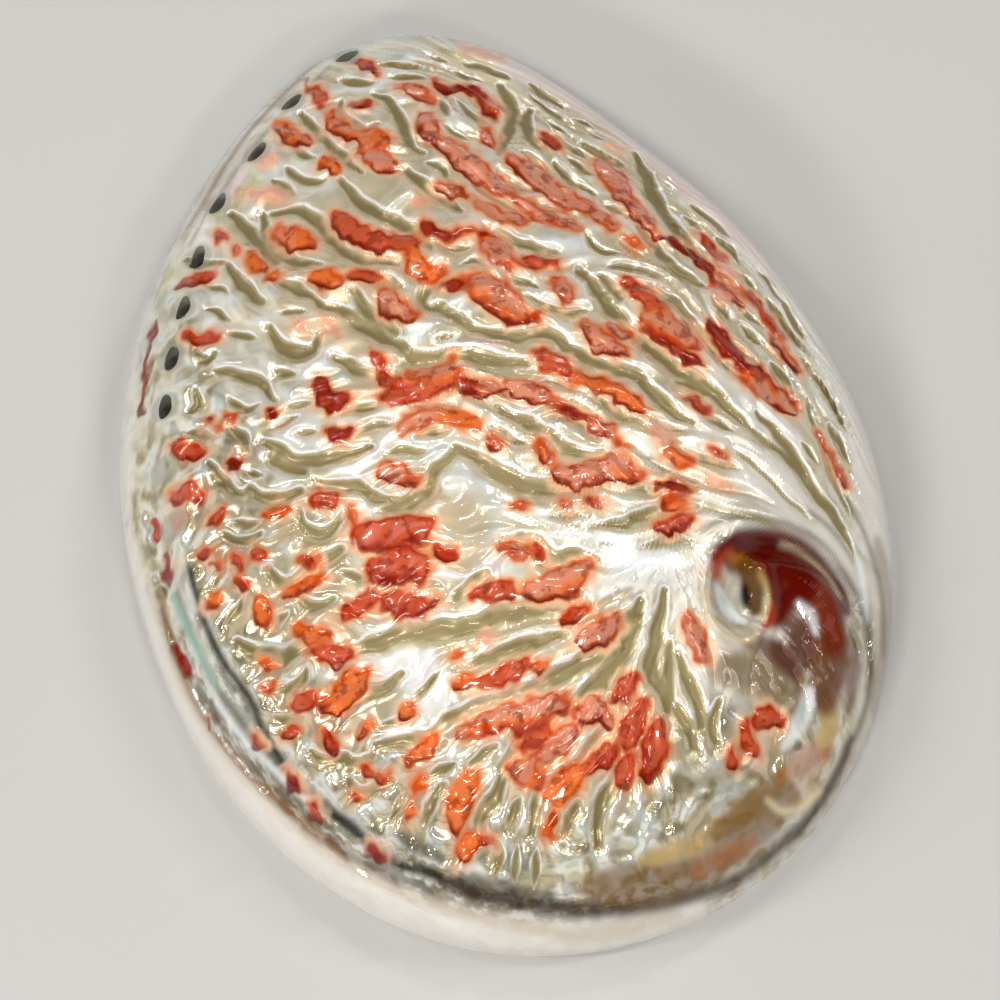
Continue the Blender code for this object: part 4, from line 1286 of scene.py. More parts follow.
    def relief(self, x: Array, y: Array, busy: Array) -> Array:
        """Give the channels, the raised patches, the cords between them, the domes and the knobs.

        Args:
            x: Places across.
            y: Places along.
            busy: How strongly the cords stand out at each place.

        Returns:
            Heights in millimetres.
        """
        bent = self.bent(x, y, 0)
        groove = self.channels.read(self.grooves, *bent)
        pillow = self.channels.read(self.pillows, *bent)
        total = -self.channel_depth * groove - self.pillow * (pillow - self.pillow_level)
        total += self.patch_step * self.patches.read(self.plateaus, *self.bent(x, y, 1))
        total += self.patches.read(self.carved, x, y)
        across, along = self.growth.flow(x, y)
        along = along / self.stretch
        cord = HALF - np.abs(waves(across, along, self.cord_width, self.cord_seed, self.wave_count))
        strand = waves(across, along, self.strand_width, self.strand_seed, self.wave_count)
        share = self.cord_least + (1.0 - self.cord_least) * busy * (1.0 - self.cord_sunk * groove)
        total += (self.cords * cord + self.strands * strand) * share
        share = self.lump_least + (1.0 - self.lump_least) * busy
        total += self.lumps * waves(x, y, self.lump_length, self.lump_seed) * share
        distance, place, _ = self.line.nearest(x, y, self.line.points)
        dents = waves(x, y, self.beaten_length, self.beaten_seed, self.beaten_waves)
        total += self.beaten * self.glinting(distance, place) * dents
        for spot, (_, _, radius, rise) in zip(self.dome_spots, self.domes):
            total += rise * bell(gap_to(x, y, spot), radius)
        for spot in self.knob_spots:
            total += self.line.knob[0] * bell(gap_to(x, y, spot), self.line.knob[1])
        return total

    def glow(self, x: Array, y: Array) -> Array:
        """Draw the patches out along the growth lines.

        Args:
            x: Places across.
            y: Places along.

        Returns:
            How much of the way along the growth line near each place lies in patches.
        """
        spread = self.patches.soften(self.plateaus, self.glow_soft)
        total = self.patches.read(spread, *self.bent(x, y, 1))
        weight = 1.0
        for way in (-1.0, 1.0):
            px, py = x.copy(), y.copy()
            for k in range(self.glow_reach):
                right, up = level_way(self.growth.sheet, px, py, self.glow_probe)
                px += way * self.glow_step * right
                py += way * self.glow_step * up
                share = 1.0 - k / self.glow_reach
                total += share * self.patches.read(spread, *self.bent(px, py, 1))
                weight += share
        return total / weight

    def by_hole(self, x: Array, y: Array, near: float, far: float) -> Array:
        """Give one at the edge of an open or filled hole and zero away from it.

        Args:
            x: Places across.
            y: Places along.
            near: Distance beyond the hole at which the value starts to fall, in millimetres.
            far: Distance at which it ends.

        Returns:
            The share of each place.
        """
        total = np.zeros_like(x)
        for spot in self.line.holes():
            total = np.maximum(total, smooth_step(far, near, gap_to(x, y, spot) - self.hole_radius))
        return total

    def outside(self, x: Array, y: Array) -> Array:
        """Give the height of the polished outside over a point."""
        share, _ = self.form.share(x, y, self.form.no_inset)
        outward, place = self.line.beside(x, y)
        inner = self.inner_flank(outward, place)
        away = smooth_step(*self.busy_away, gap_to(x, y, self.spire.centre))
        margin = smooth_step(0.0, self.rim_margin, 1.0 - share)

        total = self.relief(x, y, inner * away) - self.level
        total *= margin
        total += self.line.relief(outward, place) + self.hole_relief(x, y)
        total += self.spire.relief(x, y, self.line) - self.spire.sunk(x, y)
        return self.form.outer(x, y) + total * smooth_step(0.0, self.rim_ease, 1.0 - share)

    def inside(self, x: Array, y: Array) -> Array:
        """Give the height of the smooth hollow side over a point."""
        share, _ = self.form.share(x, y, self.form.lip_inset)
        plain = self.form.plain(x, y, self.form.height - self.form.wall, self.form.lip_inset)
        return plain - self.spire.under(x, y, share)


def store(mesh: bpy.types.Mesh, name: str, kind: str, values: object) -> None:
    """Keep values on the points of a mesh.

    Args:
        mesh: The mesh.
        name: Name that the values get.
        kind: What each of them is: a value, a vector or a color.
        values: The values, one or one row for each point.
    """
    types = {"value": "FLOAT", "vector": "FLOAT_VECTOR", "color": "FLOAT_COLOR"}
    held = mesh.attributes.new(name, types[kind], "POINT")
    held.data.foreach_set(kind, np.asarray(values, dtype=np.float32).ravel())


@dataclass
class ShellPiece:
    """The shell as one closed mesh: a fine grid outside, a flat rim and a coarser bowl inside."""

    surface: ShellSurface = field(default_factory=ShellSurface)
    cells: tuple[int, int] = (264, 312)
    rim_crowding: float = 0.45
    spire_crowding: float = 0.45
    spire_spread: float = 15.0
    rim_hold: int = 6
    bowl_rings: tuple[int, ...] = (4, 6, 9, 11)
    hole_across: float = 3.4
    hole_along: float = 4.4
    hole_lean: float = 0.45
    hole_depth: float = 18.0
    hole_sides: int = 40
    sharp_angle: float = 60.0
    patch_blur: float = 0.32
    channel_blur: float = 0.3
    wall_reach: Span = (0.6, 1.6)
    ring_reach: Span = (0.3, 1.1)
    wall_starts: Span = (0.15, 0.5)
    wall_ends: Span = (5.0, 3.4)
    hollow_starts: Span = (0.4, 1.2)
    shoulder_reach: float = 14.0
    shoulder_end: float = 17.5
    moved: Triple = (0.0, 0.0, 0.0)

    def disc(self) -> tuple[Array, Array]:
        """Lay a square grid over a round disc.

        Returns:
            The share of the way to the rim and the angle of each grid point.
        """
        a, b = np.meshgrid(*(np.linspace(-1.0, 1.0, count + 1) for count in self.cells))
        wide = np.abs(a) > np.abs(b)
        reach = np.where(wide, np.abs(a), np.abs(b))
        safe_a = np.where(a == 0, 1.0, a)
        safe_b = np.where(b == 0, 1.0, b)
        angle = np.where(wide, TURN / 8 * b / safe_a + np.where(a < 0, TURN / 2, 0.0),
                         TURN / 4 - TURN / 8 * a / safe_b + np.where(b < 0, TURN / 2, 0.0))
        return reach.ravel(), angle.ravel()

    def rim_order(self) -> Array:
        """List the grid's edge points once round, turning to the left."""
        grid = self.grid()
        return np.concatenate((grid[:-1, -1], grid[-1, :0:-1], grid[:0:-1, 0], grid[0, :-1]))

    def grid(self) -> Array:
        """Number the grid's points row by row."""
        across, along = self.cells
        return np.arange((along + 1) * (across + 1)).reshape(along + 1, across + 1)

    def mesh(self) -> bpy.types.Mesh:
        """Build the closed shell, still without its holes.

        Returns:
            The mesh, in metres.
        """
        form, surface = self.surface.form, self.surface
        reach, angle = self.disc()
        pull = (1 - self.rim_crowding) * reach + self.rim_crowding * np.sin(TURN / 4 * reach)
        radius = around(form.rim_radii, angle) * pull
        x, y = radius * np.cos(angle), radius * np.sin(angle)
        mid_x, mid_y = surface.spire.centre
        near = bell(gap_to(x, y, surface.spire.centre), self.spire_spread)
        draw = self.spire_crowding * near * (1 - reach ** self.rim_hold)
        x, y = x + draw * (mid_x - x), y + draw * (mid_y - y)
        z = np.where(reach > 1 - 1e-9, 0.0, surface.outside(x, y))
        spots = [np.column_stack((x, y, z))]

        grid = self.grid()
        faces = [np.column_stack((grid[:-1, :-1].ravel(), grid[:-1, 1:].ravel(),
                                  grid[1:, 1:].ravel(), grid[1:, :-1].ravel())).tolist()]

        ring = self.rim_order()
        ring_angle = angle[ring]
        total = sum(self.bowl_rings)
        used = 0
        count = len(x)
        for block, rings in enumerate(self.bowl_rings):
            if block > 0:
                ring, ring_angle, faces_here, row = self.halved(ring, ring_angle, count, used / total)
                spots.append(row)
                faces.append(faces_here)
                count += len(row)
                used += 1
                rings -= 1
            for _ in range(rings):
                row = self.bowl_row(ring_angle, used / total)
                fresh = np.arange(count, count + len(row))
                ahead, fresh_ahead = np.roll(ring, -1), np.roll(fresh, -1)
                faces.append(np.column_stack((ring, fresh, fresh_ahead, ahead)).tolist())
                spots.append(row)
                ring, count, used = fresh, count + len(row), used + 1
        middle = self.bowl_row(ring_angle[:1], 1.0)
        spots.append(middle)
        faces.append(np.column_stack((np.roll(ring, -1), ring, np.full(len(ring), count))).tolist())

        mesh = bpy.data.meshes.new("abalone_shell_form")
        mesh.from_pydata(np.vstack(spots) * MM, [], [face for block in faces for face in block])
        mesh.update()
        return mesh

    def bowl_row(self, angle: Array, share: float) -> Array:
        """Make one ring of the hollow side.

        Args:
            angle: Angles of the ring's points.
            share: Share of the way from the rim to the middle.

        Returns:
            Rows of x, y and z in millimetres.
        """
        form = self.surface.form
        radius = (around(form.rim_radii, angle) - form.lip_inset(angle)) * math.cos(TURN / 4 * share)
        x, y = radius * np.cos(angle), radius * np.sin(angle)
        z = np.zeros_like(x) if share == 0 else self.surface.inside(x, y)
        return np.column_stack((x, y, z))

    def halved(self, ring: Array, angle: Array, count: int, share: float) -> tuple:
        """Step from a ring to one with half as many points.

        Args:
            ring: Points of the outer ring.
            angle: Their angles.
            count: Number of the first new point.
            share: Share of the way from the rim to the middle.

        Returns:
            The new ring, its angles, the faces between, and the new points.
        """
        row = self.bowl_row(angle[::2], share)
        fresh = np.arange(count, count + len(row))
        ahead = np.roll(fresh, -1)
        first, middle, last = ring[::2], ring[1::2], np.roll(ring[::2], -1)
        triples = ((first, fresh, middle), (middle, fresh, ahead), (middle, ahead, last))
        faces = np.concatenate([np.column_stack(triple) for triple in triples]).tolist()
        return fresh, angle[::2], faces, row

    def hole_spots(self) -> bpy.types.Object:
        """Mark the places of the open holes, each with the way that its plug stands.

        Returns:
            An object with one point for each hole.
        """
        surface, line = self.surface, self.surface.line
        curve, places = catmull_rom(line.points, line.samples)
        run = np.gradient(curve, axis=0)
        spots, stands = [], []
        for index, (px, py) in enumerate(line.points[:line.open_holes]):
            x, y = np.array([px, px + 1, px - 1, px, px]), np.array([py, py, py, py + 1, py - 1])
            z = surface.form.outer(x, y)
            slope_x, slope_y = (z[1] - z[2]) / 2, (z[3] - z[4]) / 2
            axis = Vector((-slope_x * self.hole_lean, -slope_y * self.hole_lean, 1.0)).normalized()
            tx, ty = run[int(np.argmin(np.abs(places - index)))]
            along = Vector((tx, ty, 0.0))
            along = (along - axis * along.dot(axis)).normalized()
            across = along.cross(axis)
            stands.extend(Matrix((across, along, axis)).transposed().to_euler())
            spots.append((px * MM, py * MM, surface.outside(x[:1], y[:1])[0] * MM))
        mesh = bpy.data.meshes.new("hole_spots")
        mesh.from_pydata(spots, [], [])
        store(mesh, "stand", "vector", stands)
        marks = bpy.data.objects.new("hole_spots", mesh)
        bpy.context.scene.collection.objects.link(marks)
        return marks

    def perforation(self) -> bpy.types.NodeTree:
        """Build the tree that cuts an oval hole through the shell at each marked place."""
        tree = bpy.data.node_groups.new("row_of_holes", "GeometryNodeTree")
        sockets = (("Geometry", "Geometry"), ("Hole Spots", "Object"), ("Hole Size", "Vector"),
                   ("Sides", "Int"), ("Finish", "Material"))
        for name, kind in sockets:
            tree.interface.new_socket(name, in_out="INPUT", socket_type=f"NodeSocket{kind}")
        tree.interface.new_socket("Geometry", in_out="OUTPUT", socket_type="NodeSocketGeometry")
        add = tree.nodes.new
        given, result = add("NodeGroupInput"), add("NodeGroupOutput")
        marks, placed = add("GeometryNodeObjectInfo"), add("GeometryNodeInstanceOnPoints")
        plug = add("GeometryNodeMeshCylinder")
        plug.inputs["Radius"].default_value, plug.inputs["Depth"].default_value = HALF, 1.0
        stand, turned = add("GeometryNodeInputNamedAttribute"), add("FunctionNodeEulerToRotation")
        stand.data_type, stand.inputs["Name"].default_value = "FLOAT_VECTOR", "stand"
        cut = add("GeometryNodeMeshBoolean")
        cut.operation, cut.solver = "DIFFERENCE", "EXACT"
        real, whole = add("GeometryNodeRealizeInstances"), add("GeometryNodeRealizeInstances")
        dressed = add("GeometryNodeSetMaterial")
        links = ((given, "Hole Spots", marks, "Object"), (given, "Sides", plug, "Vertices"),
                 (marks, "Geometry", placed, "Points"), (plug, "Mesh", placed, "Instance"),
                 (stand, "Attribute", turned, "Euler"), (turned, "Rotation", placed, "Rotation"),
                 (given, "Hole Size", placed, "Scale"), (placed, "Instances", real, "Geometry"),
                 (given, "Geometry", cut, "Mesh 1"), (real, "Geometry", cut, "Mesh 2"),
                 (cut, "Mesh", whole, "Geometry"), (whole, "Geometry", dressed, "Geometry"),
                 (given, "Finish", dressed, "Material"), (dressed, "Geometry", result, "Geometry"))
        for source, output, target, entry in links:
            tree.links.new(source.outputs[output], target.inputs[entry])
        return tree

    def pierced(self, mesh: bpy.types.Mesh, finish: bpy.types.Material) -> bpy.types.Mesh:
        """Cut the row of holes and give the mesh its finish.

        Args:
            mesh: The closed shell.
            finish: Its material.

        Returns:
            The cut mesh.
        """
        shell = bpy.data.objects.new("shell_blank", mesh)
        bpy.context.scene.collection.objects.link(shell)
        marks = self.hole_spots()
        tree = self.perforation()
        holes = shell.modifiers.new("row_of_holes", "NODES")
        holes.node_group = tree
        values = {"Hole Spots": marks, "Sides": self.hole_sides, "Finish": finish,
                  "Hole Size": (self.hole_across * MM, self.hole_along * MM, self.hole_depth * MM)}
        for socket in tree.interface.items_tree:
            if socket.in_out == "INPUT" and socket.name in values:
                holes[socket.identifier] = values[socket.name]
        graph = bpy.context.evaluated_depsgraph_get()
        cut = bpy.data.meshes.new_from_object(shell.evaluated_get(graph))
        shell.modifiers.clear()
        bpy.data.objects.remove(shell, do_unlink=True)
        bpy.data.objects.remove(marks, do_unlink=True)
        return cut

    def build(self, finish: bpy.types.Material) -> bpy.types.Object:
        """Make the finished piece, standing where the solid stands.

        Args:
            finish: The shell's material.

        Returns:
            The piece.
        """
        mesh = self.pierced(self.mesh(), finish)
        spot = np.empty(len(mesh.vertices) * 3)
        mesh.vertices.foreach_get("co", spot)
        spot = spot.reshape(-1, 3)
        self.mark(mesh, spot / MM)
        low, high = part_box("abalone_shell")
        shift = (np.array(low) + np.array(high)) / 2 - (spot.min(axis=0) + spot.max(axis=0)) / 2
        shift[2] = 0.0
        self.moved = tuple(shift)
        log.info("moved by %s mm to stand in the middle of the solid's box", np.round(shift / MM, 2))
        mesh.vertices.foreach_set("co", (spot + shift).ravel())
        mesh.name = "abalone_shell_surface"
        mesh.shade_smooth()
        mesh.set_sharp_from_angle(angle=math.radians(self.sharp_angle))
        piece = bpy.data.objects.new("polished_shell", mesh)
        bpy.context.scene.collection.objects.link(piece)
        return piece

    def mark(self, mesh: bpy.types.Mesh, spot: Array) -> None:
        """Store on each point what the finish needs to know about its place.

        Args:
            mesh: The cut mesh.
            spot: Its points in millimetres.
        """
        surface = self.surface
        x, y, z = spot.T
        depth = surface.outside(x, y) - z
        distance, place, side = surface.line.nearest(x, y, surface.line.points)
        outward = distance * side
        flank = 1.0 - surface.inner_flank(outward, place)
        bent, spread = surface.bent(x, y, 1), surface.bent(x, y, 0)
        patches, channels = surface.patches, surface.channels
        in_hole = smooth_step(*self.wall_starts, depth) * smooth_step(*self.wall_ends, depth)
        values = {
            "patch": patches.read(patches.soften(patches.inset, self.patch_blur), *bent),
            "patch_tone": patches.read(surface.tones, *bent),
            "patch_side": patches.read(patches.leaning(patches.strength), *bent),
            "glow": surface.glow(x, y),
            "channel": channels.read(channels.soften(channels.strength, self.channel_blur), *spread),
            "channel_side": channels.read(surface.channel_side, *spread),
            "rise": surface.relief(x, y, 1.0 - flank),
            "wall": surface.by_hole(x, y, *self.wall_reach) * in_hole,
            "ring": surface.by_hole(x, y, *self.ring_reach),
            "hollow": smooth_step(*self.hollow_starts, depth),
            "flank": flank,
            "glint": surface.glinting(distance, place),
        }
        for name, value in values.items():
            store(mesh, name, "value", value)
        across, along = surface.growth.flow(x, y)
        store(mesh, "flow", "vector", np.column_stack((across, along, depth)))
        near = (distance < self.shoulder_reach) & (place < self.shoulder_end)
        beside = np.where(near, outward, -self.shoulder_reach)
        store(mesh, "shoulder", "vector", np.column_stack((place, beside, depth)))
        tint = np.column_stack([patches.read(layer, x, y) for layer in surface.tint])
        tint[:, 3] *= 1.0 - values["hollow"]
        store(mesh, "tint", "color", np.clip(tint, 0.0, 1.0))


def colour(red: int, green: int, blue: int) -> tuple[float, float, float, float]:
    """Turn a display colour into the renderer's linear one.

    Args:
        red: Red from 0 to 255.
        green: Green from 0 to 255.
        blue: Blue from 0 to 255.

    Returns:
        Linear red, green, blue and full alpha.
    """
    shares = [value / 255 for value in (red, green, blue)]
    linear = [c / 12.92 if c <= 0.04045 else ((c + 0.055) / 1.055) ** 2.4 for c in shares]
    return (*linear, 1.0)


class Sketch:
    """Short calls that add nodes to a shader tree and link them."""

    FIRST_COLOUR = 6
    SECOND_COLOUR = 7
    MIXED_COLOUR = 2

    def __init__(self, tree: bpy.types.NodeTree) -> None:
        """Start on a tree."""
        self.tree = tree

    def feed(self, socket: Socket, value: object) -> None:
        """Link a socket to another, or set its value."""
        if isinstance(value, Socket):
            self.tree.links.new(value, socket)
        else:
            socket.default_value = value

    def node(self, kind: str, given: dict, **settings: str) -> bpy.types.Node:
        """Add a node.

        Args:
            kind: Its type.
            given: What goes into its inputs, by their names or numbers.
            settings: Its own settings.

        Returns:
            The node.
        """
        node = self.tree.nodes.new(kind)
        for name, setting in settings.items():
            setattr(node, name, setting)
        for name, value in given.items():
            self.feed(node.inputs[name], value)
        return node

    def number(self, operation: str, *values: object) -> Socket:
        """Add a Math node and return its result."""
        return self.node("ShaderNodeMath", dict(enumerate(values)), operation=operation).outputs["Value"]

    def times(self, first: object, second: object) -> Socket:
        """Multiply two values."""
        return self.number("MULTIPLY", first, second)

    def plus(self, value: object, share: object, base: object) -> Socket:
        """Add a share of a value to a base."""
        return self.number("MULTIPLY_ADD", value, share, base)

    def rest(self, value: object) -> Socket:
        """Give what a share leaves."""
        return self.number("SUBTRACT", 1.0, value)

    def swung(self, noise: object, reach: object, base: object) -> Socket:
        """Swing a base up and down with a noise that lies around one half."""
        return self.plus(self.number("SUBTRACT", noise, HALF), reach, base)

    def ease(self, value: object, low: object, high: object, first: float = 0.0, last: float = 1.0) -> Socket:
        """Add a smooth step from one value to another and return its result."""
        given = {"Value": value, "From Min": low, "From Max": high, "To Min": first, "To Max": last}
        return self.node("ShaderNodeMapRange", given, interpolation_type="SMOOTHSTEP").outputs["Result"]

    def between(self, value: object, spans: tuple[Span, Span]) -> Socket:
        """Add a smooth step up and one down again, and return their product."""
        rising, falling = spans
        return self.times(self.ease(value, *rising), self.ease(value, *falling))

    def blend(self, share: object, first: object, second: object) -> Socket:
        """Add a colour mix and return its result."""
        given = {"Factor": share, self.FIRST_COLOUR: first, self.SECOND_COLOUR: second}
        return self.node("ShaderNodeMix", given, data_type="RGBA").outputs[self.MIXED_COLOUR]

    def stored(self, name: str) -> bpy.types.Node:
        """Add a node that reads what is stored on the mesh."""
        return self.node("ShaderNodeAttribute", {}, attribute_name=name)

    def attribute(self, name: str) -> Socket:
        """Read a number that is stored on the mesh."""
        return self.stored(name).outputs["Fac"]

    def painted(self, name: str) -> tuple[Socket, Socket]:
        """Read a colour that is stored on the mesh, and its cover."""
        outputs = self.stored(name).outputs
        return outputs["Color"], outputs["Alpha"]

    def parts(self, name: str) -> bpy.types.bpy_prop_collection:
        """Read the three numbers of a place that is stored on the mesh."""
        return self.node("ShaderNodeSeparateXYZ", {0: self.stored(name).outputs["Vector"]}).outputs

    def stretched(self, name: str, scale: Triple) -> Socket:
        """Read a place that is stored on the mesh and stretch it."""
        given = {0: self.stored(name).outputs["Vector"], 1: scale}
        return self.node("ShaderNodeVectorMath", given, operation="MULTIPLY").outputs[0]

    def place(self) -> Socket:
        """Read the place on the object."""
        return self.tree.nodes.new("ShaderNodeTexCoord").outputs["Object"]

    def noise(self, place: object, scale: float, detail: float, rough: float = 0.5) -> Socket:
        """Add noise around one half and return it."""
        given = {"Vector": place, "Scale": scale, "Detail": detail, "Roughness": rough}
        return self.node("ShaderNodeTexNoise", given).outputs["Fac"]

    def shifted(self, place: object, by: Triple) -> Socket:
        """Move the place that a pattern reads."""
        return self.node("ShaderNodeMapping", {"Vector": place, "Location": by}).outputs["Vector"]

    def ramp(self, value: object, stops: tuple) -> Socket:
        """Add a colour ramp and return its colour."""
        node = self.node("ShaderNodeValToRGB", {"Fac": value})
        band = node.color_ramp
        band.elements[0].position, band.elements[0].color = stops[0]
        band.elements[1].position, band.elements[1].color = stops[-1]
        for position, tint in stops[1:-1]:
            stop = band.elements.new(position)
            stop.color = tint
        return node.outputs["Color"]


@dataclass(frozen=True)
class PearlPlay:
    """The play of colour on nacre: streaks of cream, white, silver and beige with hints of stronger tints."""

    streaks: tuple = ((0.32, colour(190, 174, 140)), (0.43, colour(226, 216, 196)),
                      (0.55, colour(246, 243, 236)), (0.7, colour(216, 214, 208)))
    streak_noise: Span = (1.0, 4.0, 0.6)
    teal: tuple = colour(150, 214, 212)
    lime: tuple = colour(220, 226, 150)
    pink: tuple = colour(240, 184, 200)
    hint_start: Triple = (1.7, 5.3, 2.9)
    hint_step: float = 3.1
    hint_noise: Span = (0.8, 3.0)
    hint_span: Span = (0.54, 0.72)

    def group(self) -> bpy.types.NodeTree:
        """Build the shared shader group, with the stretched place and the strength as inputs."""
        tree = bpy.data.node_groups.new("pearl_play", "ShaderNodeTree")
        face = tree.interface
        face.new_socket("Place", in_out="INPUT", socket_type="NodeSocketVector")
        face.new_socket("Play", in_out="INPUT", socket_type="NodeSocketFloat")
        face.new_socket("Colour", in_out="OUTPUT", socket_type="NodeSocketColor")
        sketch = Sketch(tree)
        given, result = tree.nodes.new("NodeGroupInput"), tree.nodes.new("NodeGroupOutput")
        place = given.outputs["Place"]
        base = sketch.ramp(sketch.noise(place, *self.streak_noise), self.streaks)
        x, y, z = self.hint_start
        for number, tint in enumerate((self.teal, self.lime, self.pink)):
            spot = sketch.noise(sketch.shifted(place, (self.hint_step * number + x, y, z)), *self.hint_noise)
            share = sketch.times(sketch.ease(spot, *self.hint_span), given.outputs["Play"])
            base = sketch.blend(share, base, tint)
        sketch.feed(result.inputs["Colour"], base)
        return tree


@dataclass
class NacreMarks:
    """The patterns, and the marks on the mesh, that the layers of the nacre share."""

    sketch: Sketch
    broad_noise: Span = (330.0, 3.0)
    fine_noise: Span = (1100.0, 3.0)
    streak_stretch: Triple = (0.55, 0.16, 0.0)
    streak_noise: Span = (1.0, 4.0, 0.6)
    cloud_stretch: Triple = (0.1, 0.05, 0.0)
    cloud_noise: Span = (1.0, 2.0, 0.5)
    apart_from: Span = (14.0, 32.0)
    shakes: Triple = (1.0, 0.3, 0.9)
    channel_shake: float = 0.4
    gentle_side: Span = (-0.5, 0.6)
    channel_low: Span = (-0.8, -0.12)
    channel_high: Span = (0.35, 0.1)
    patch_shake: float = 0.45

    def __post_init__(self) -> None:
        """Read the marks and shake their edges."""
        sketch = self.sketch
        self.spot = sketch.place()
        self.broad = sketch.noise(self.spot, *self.broad_noise)
        self.fine = sketch.noise(self.spot, *self.fine_noise)
        _, away, _ = sketch.parts("flow")
        self.apart = sketch.ease(away, *self.apart_from)
        streak = sketch.noise(sketch.stretched("flow", self.streak_stretch), *self.streak_noise)
        streak = sketch.swung(streak, self.apart, HALF)
        long_shake, fine_shake, broad_shake = self.shakes
        warp = sketch.swung(streak, long_shake, sketch.swung(self.fine, fine_shake, 0.0))
        self.warp = sketch.swung(self.broad, broad_shake, warp)
        self.cloud = sketch.noise(sketch.stretched("flow", self.cloud_stretch), *self.cloud_noise)
        self.glint = sketch.attribute("glint")
        self.domed = sketch.rest(sketch.attribute("flank"))
        self.channel = sketch.plus(self.warp, self.channel_shake, sketch.attribute("channel"))
        self.gentle = sketch.ease(sketch.attribute("channel_side"), *self.gentle_side)
        self.in_channel = sketch.ease(self.channel, sketch.plus(self.gentle, *self.channel_low),
                                      sketch.plus(self.gentle, *self.channel_high))
        self.depth = sketch.plus(self.warp, self.patch_shake, sketch.attribute("patch"))
        self.tone = sketch.attribute("patch_tone")
        self.tint, self.cover = sketch.painted("tint")


@dataclass(frozen=True)
class NacreFinish:
    """Polished outside of the shell: pearly crests, cut-through red layers, painted tan and olive shade in
    the channels and low places, painted highlight lines along the channels' steep sides and painted
    reflections on the mirroring facets. A span holds the two ends of a smooth step and, where they aren't
    zero and one, the values there."""

    # Painted shade: tan, deepening to olive, stands for the darker reflection in the channels and low places.
    shade_tan: tuple = colour(204, 190, 154)
    deep_shade_olive: tuple = colour(142, 127, 88)
    # Painted highlight: the white line along each channel's steep side.
    lip: tuple = colour(246, 244, 238)
    calm: tuple = colour(226, 218, 204)
    shade: tuple = colour(170, 156, 124)
    halo: tuple = colour(240, 198, 160)
    glow: tuple = colour(226, 120, 56)
    edge: tuple = colour(96, 10, 0)
    dusk: tuple = colour(120, 26, 8)
    rims: tuple = ((0.0, colour(122, 20, 4)), (0.25, colour(176, 50, 18)), (0.5, colour(204, 80, 22)),
                   (0.75, colour(196, 84, 46)), (1.0, colour(232, 160, 128)))
    cores: tuple = ((0.0, colour(150, 44, 24)), (0.25, colour(190, 82, 50)), (0.5, colour(218, 108, 48)),
                    (0.75, colour(208, 132, 102)), (1.0, colour(230, 176, 150)))
    hollow: tuple = colour(214, 210, 204)
    wall: tuple = colour(146, 120, 84)
    ring: tuple = colour(150, 152, 136)
    # Painted shade and glints in the groove behind the holes: black and olive for its shade, silver and white
    # for glints.
    groove_shade_glints: tuple = ((0.1, colour(44, 36, 20)), (0.3, colour(104, 90, 54)), (0.5, colour(150, 138, 104)),
                     (0.65, colour(188, 186, 164)), (0.85, colour(236, 236, 228)))
    # Painted reflections: dark olive and bright white spots on the mirroring facets.
    facet_reflections: tuple = ((0.34, colour(136, 122, 82)), (0.42, colour(186, 174, 134)),
                     (0.5, colour(230, 224, 200)), (0.6, colour(244, 244, 236)), (0.7, colour(206, 214, 190)))
    play: float = 0.55
    play_stretch: Triple = (0.32, 0.09, 0.0)
    shaded: Span = (0.5, 0.68, 0.0, 0.75)
    facet_reflection_noise: Span = (260.0, 2.0, 0.4)
    facet_reflection_share: Span = (0.6, 0.2)
    rise_shake: float = 0.25
    # Painted shade: the lower the relief, the more tan.
    shaded_low_places: Span = (-0.45, 0.3, 0.9, 0.0)
    # Painted shade: olive, deeper in the channels.
    channel_shade: Span = (-0.15, 0.5)
    # Where the painted highlight line lies beside each channel.
    ledge: tuple[Span, Span] = ((-0.6, -0.35), (0.0, -0.15))
    drawn_shake: float = 0.3
    drawn_in_channel: float = -0.25
    drawn_halo: Span = (0.04, 0.4, 0.0, 0.8)
    drawn_glow: Span = (0.28, 0.7, 0.0, 0.8)
    halo_fringe: Span = (-1.8, -0.4, 0.0, 0.65)
    glow_fringe: Span = (-0.85, 0.15, 0.0, 0.75)
    glow_of_tone: Span = (0.8, 1.0, 1.0, 0.2)
    facet_reach: float = 3.4
    facet: Span = (0.2, 1.0)
    dusk_shift: Triple = (0.31, 0.17, 0.05)
    dusk_noise: Span = (420.0, 2.0, 0.6)
    dusky: Span = (0.53, 0.64, 0.0, 0.6)
    dark_of_tone: Span = (0.8, 1.0, 1.0, 0.1)
    patch_edge: Span = (-0.3, 0.5)
    contour_side: Span = (-0.1, 0.8, 0.0, 0.95)
    contour: tuple[Span, Span] = ((-0.35, 0.1), (1.0, 0.1))
    contour_cloud: Span = (0.4, 0.56, 0.2, 1.0)
    ring_cover: float = 0.6
    groove_along: tuple[Span, Span] = ((9.8, 11.2), (15.6, 14.2))
    groove_across: tuple[Span, Span] = ((-2.6, -0.8), (6.2, 4.6))
    groove_stretch: Triple = (6.0, 0.8, 0.0)
    groove_noise: Span = (1.0, 2.0, 0.5)
    groove_shake: float = 3.0
    groove_grain: Span = (0.32, 0.68)
    groove_cover: float = 0.8
    covered: Span = (-0.4, 0.1)
    covered_dull: float = 0.85
    metal: Span = (0.25, 0.28)
    channel_core: Span = (0.0, 0.5)
    roughness: Span = (0.3, 0.7, 0.2, 0.32)
    smoother: tuple[float, float] = (-0.1, -0.08)
    core_rough: float = 0.2
    coat: Span = (0.02, 0.3, 0.1, 1.0)
    core_coat: float = -0.6
    coat_roughness: float = 0.03
    specular: float = 0.12
    bump: tuple[float, float] = (0.4, 0.0006)
    bump_shares: Triple = (0.5, 0.06, -0.5)

